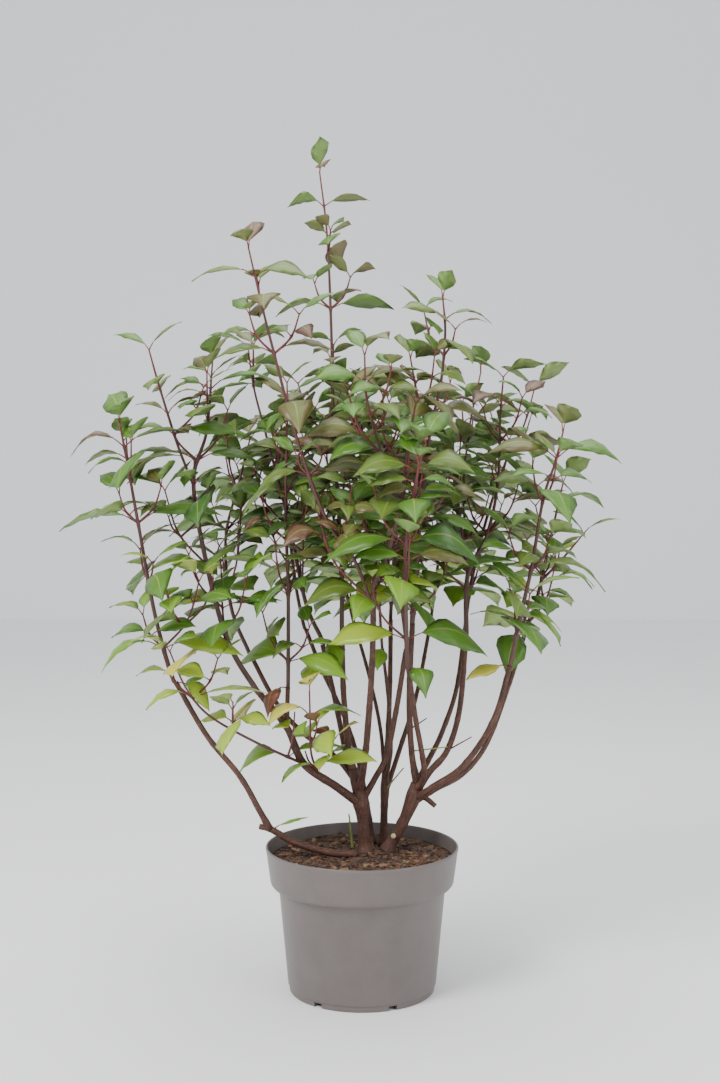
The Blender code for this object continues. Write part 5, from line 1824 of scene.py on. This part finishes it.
def make_chips(materials):
    """Chips of bark: squat six-sided blocks, each torn to its own shape."""
    rng = random.Random(CHIP_SEED)
    batch = Batch()
    for _ in range(CHIP_COUNT):
        spot = scatter_spot(rng)
        size = rng.choice(CHIP_SIZES) * rng.uniform(*CHIP_VARIATION)
        long = rng.uniform(*CHIP_LENGTH)
        turn = rng.uniform(0, math.tau)
        tilt = rng.uniform(*CHIP_TILT)
        corners = []
        for level in (-1, 1):
            for side in range(CHIP_SIDES):
                angle = math.tau * side / CHIP_SIDES
                reach = size * rng.uniform(*CHIP_TEAR)
                x = reach * math.cos(angle) * long
                y = reach * math.sin(angle)
                z = level * size * CHIP_THICKNESS * rng.uniform(*CHIP_UNEVEN) + x * tilt
                lean_x = x * math.cos(turn) - y * math.sin(turn)
                lean_y = x * math.sin(turn) + y * math.cos(turn)
                corners.append(spot + Vector((lean_x, lean_y, z + size * CHIP_LIFT)))
        faces = ring_faces(2, CHIP_SIDES)
        colour = rng.choices(range(len(CHIP_COLOURS)), CHIP_WEIGHTS)[0]
        batch.add(corners, faces, [colour] * len(faces))
    return batch.build("bark_chips", materials, smooth=False)


def make_fibres(materials):
    """Coir fibres: thin three-sided strands that lie curled on the compost."""
    rng = random.Random(FIBRE_SEED)
    batch = Batch()
    for _ in range(FIBRE_COUNT):
        place = scatter_spot(rng)
        turn = rng.uniform(0, math.tau)
        step = rng.uniform(*FIBRE_STEP)
        thin = rng.uniform(*FIBRE_HALF)
        rings = []
        for _ in range(FIBRE_STEPS):
            turn += rng.uniform(*FIBRE_BEND)
            place = place + Vector((math.cos(turn), math.sin(turn), 0.0)) * step
            if math.hypot(place.x, place.y) > COMPOST_RADIUS - FIBRE_EDGE:
                break
            rings.append(Vector((place.x, place.y, compost_height(place.x, place.y) + FIBRE_LIFT)))
        if len(rings) < FIBRE_LEAST:
            continue
        corners = []
        for spot in rings:
            aside = Vector((-math.sin(turn), math.cos(turn), 0.0)) * thin
            corners.extend((spot + aside, spot - aside, spot + UP * thin * FIBRE_HEIGHT))
        faces = ring_faces(len(rings), FIBRE_SIDES)
        batch.add(corners, faces, [rng.randrange(len(materials))] * len(faces))
    return batch.build("coir_fibres", materials, smooth=False)


# Stage
FLOOR_SIZE = 30.0
WALL_DISTANCE = 5.2
FLOOR_COLOUR, FLOOR_ROUGHNESS = (0.84, 0.84, 0.84), 0.75
WALL_COLOUR, WALL_ROUGHNESS = (0.84, 0.84, 0.85), 0.9
AIR_COLOUR, AIR_STRENGTH = (0.90, 0.92, 0.95, 1.0), 1.12
# Name, place, size and power of each lamp; all face the middle of the plant
LAMPS = (
    ("key_light", (-1.9, -2.0, 2.9), 1.4, 130.0),
    ("fill_light", (2.2, -1.9, 1.7), 1.8, 34.0),
    ("top_light", (0.2, 0.5, 3.2), 2.2, 50.0),
)
PLANT_MIDDLE = Vector((0, 0, 0.6))
LENS = 50.06
SENSOR = 36.0
CAMERA_PLACE = (-0.0031, -2.208, 0.784)
CAMERA_PITCH = 86.92


def make_stage():
    bpy.ops.mesh.primitive_plane_add(size=FLOOR_SIZE, location=(0, 0, 0))
    floor = bpy.context.object
    floor.name = "studio_floor"
    floor.data.materials.append(plain("studio_white", FLOOR_COLOUR, FLOOR_ROUGHNESS))
    bpy.ops.mesh.primitive_plane_add(
        size=FLOOR_SIZE, location=(0, WALL_DISTANCE, 0), rotation=(math.radians(90), 0, 0)
    )
    wall = bpy.context.object
    wall.name = "studio_wall"
    wall.data.materials.append(plain("studio_backdrop", WALL_COLOUR, WALL_ROUGHNESS))
    for name, place, size, power in LAMPS:
        light = bpy.data.lights.new(name, "AREA")
        light.energy = power
        light.size = size
        lamp = bpy.data.objects.new(name, light)
        lamp.location = place
        lamp.rotation_euler = (PLANT_MIDDLE - Vector(place)).to_track_quat("-Z", "Y").to_euler()
        bpy.context.scene.collection.objects.link(lamp)
    world = bpy.data.worlds.new("studio_air")
    world.use_nodes = True
    air = world.node_tree.nodes["Background"].inputs
    air["Color"].default_value = AIR_COLOUR
    air["Strength"].default_value = AIR_STRENGTH
    bpy.context.scene.world = world
    camera = bpy.data.cameras.new("photo_camera")
    camera.lens = LENS
    camera.sensor_width = SENSOR
    seen = bpy.data.objects.new("photo_camera", camera)
    seen.location = CAMERA_PLACE
    seen.rotation_euler = (math.radians(CAMERA_PITCH), 0, 0)
    bpy.context.scene.collection.objects.link(seen)
    bpy.context.scene.camera = seen


def belongs(piece, finish, *nodes):
    """Hides the solids that a piece stands for and ties the piece to the frame; its finish is not used."""
    if nodes:
        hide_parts(*nodes)
    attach(piece, "root")


def main():
    limbs = make_limbs()
    growth = grow_sprays(limbs)
    finer = grow_finer(limbs, growth)
    hang_single_leaves(limbs, finer)
    leaves = growth.leaves + finer.leaves
    for colour, piece in make_leaves(leaves, leaf_materials()).items():
        nodes = [mass for mass, spray in SPRAYS.items() if spray[1] == colour]
        belongs(piece, "foliage_" + colour, *nodes)
    stem_finishes = [plain(*finish) for finish in STEM_FINISHES]
    belongs(make_stems(growth.stems + finer.stems, stem_finishes), "bark")

    group = mottle_group()
    bark = bark_material(group, "grey_brown_bark", BARK_COLOURS)
    shoot = bark_material(group, "green_shoot_bark", SHOOT_COLOURS)
    cream = plain("cut_wood", CREAM_WOOD, WOOD_ROUGHNESS)
    woody = [name for name in limbs if name != "young_shoot"]
    batch, places = bark_batch(
        limbs, woody, lambda radius: STOUT_SIDES if radius > STOUT_FROM else BARK_SIDES
    )
    add_details(batch, places)
    wood = with_places(batch.build("bark_limbs", [bark, cream, shoot]), places)
    belongs(wood, "bark", *woody)
    batch, places = bark_batch(limbs, ["young_shoot"], lambda _: SHOOT_SIDES)
    belongs(with_places(batch.build("green_shoot", [shoot]), places), "shoot", "young_shoot")

    belongs(make_pot(pot_material(group)), "pot", "pot")
    belongs(make_compost(compost_material(group)), "soil", "soil")
    chips = [
        plain("bark_chip_%d" % number, colour, CHIP_ROUGHNESS)
        for number, colour in enumerate(CHIP_COLOURS)
    ]
    belongs(make_chips(chips), "soil")
    belongs(make_fibres([plain(*finish) for finish in FIBRE_COLOURS]), "soil")
    make_stage()


main()
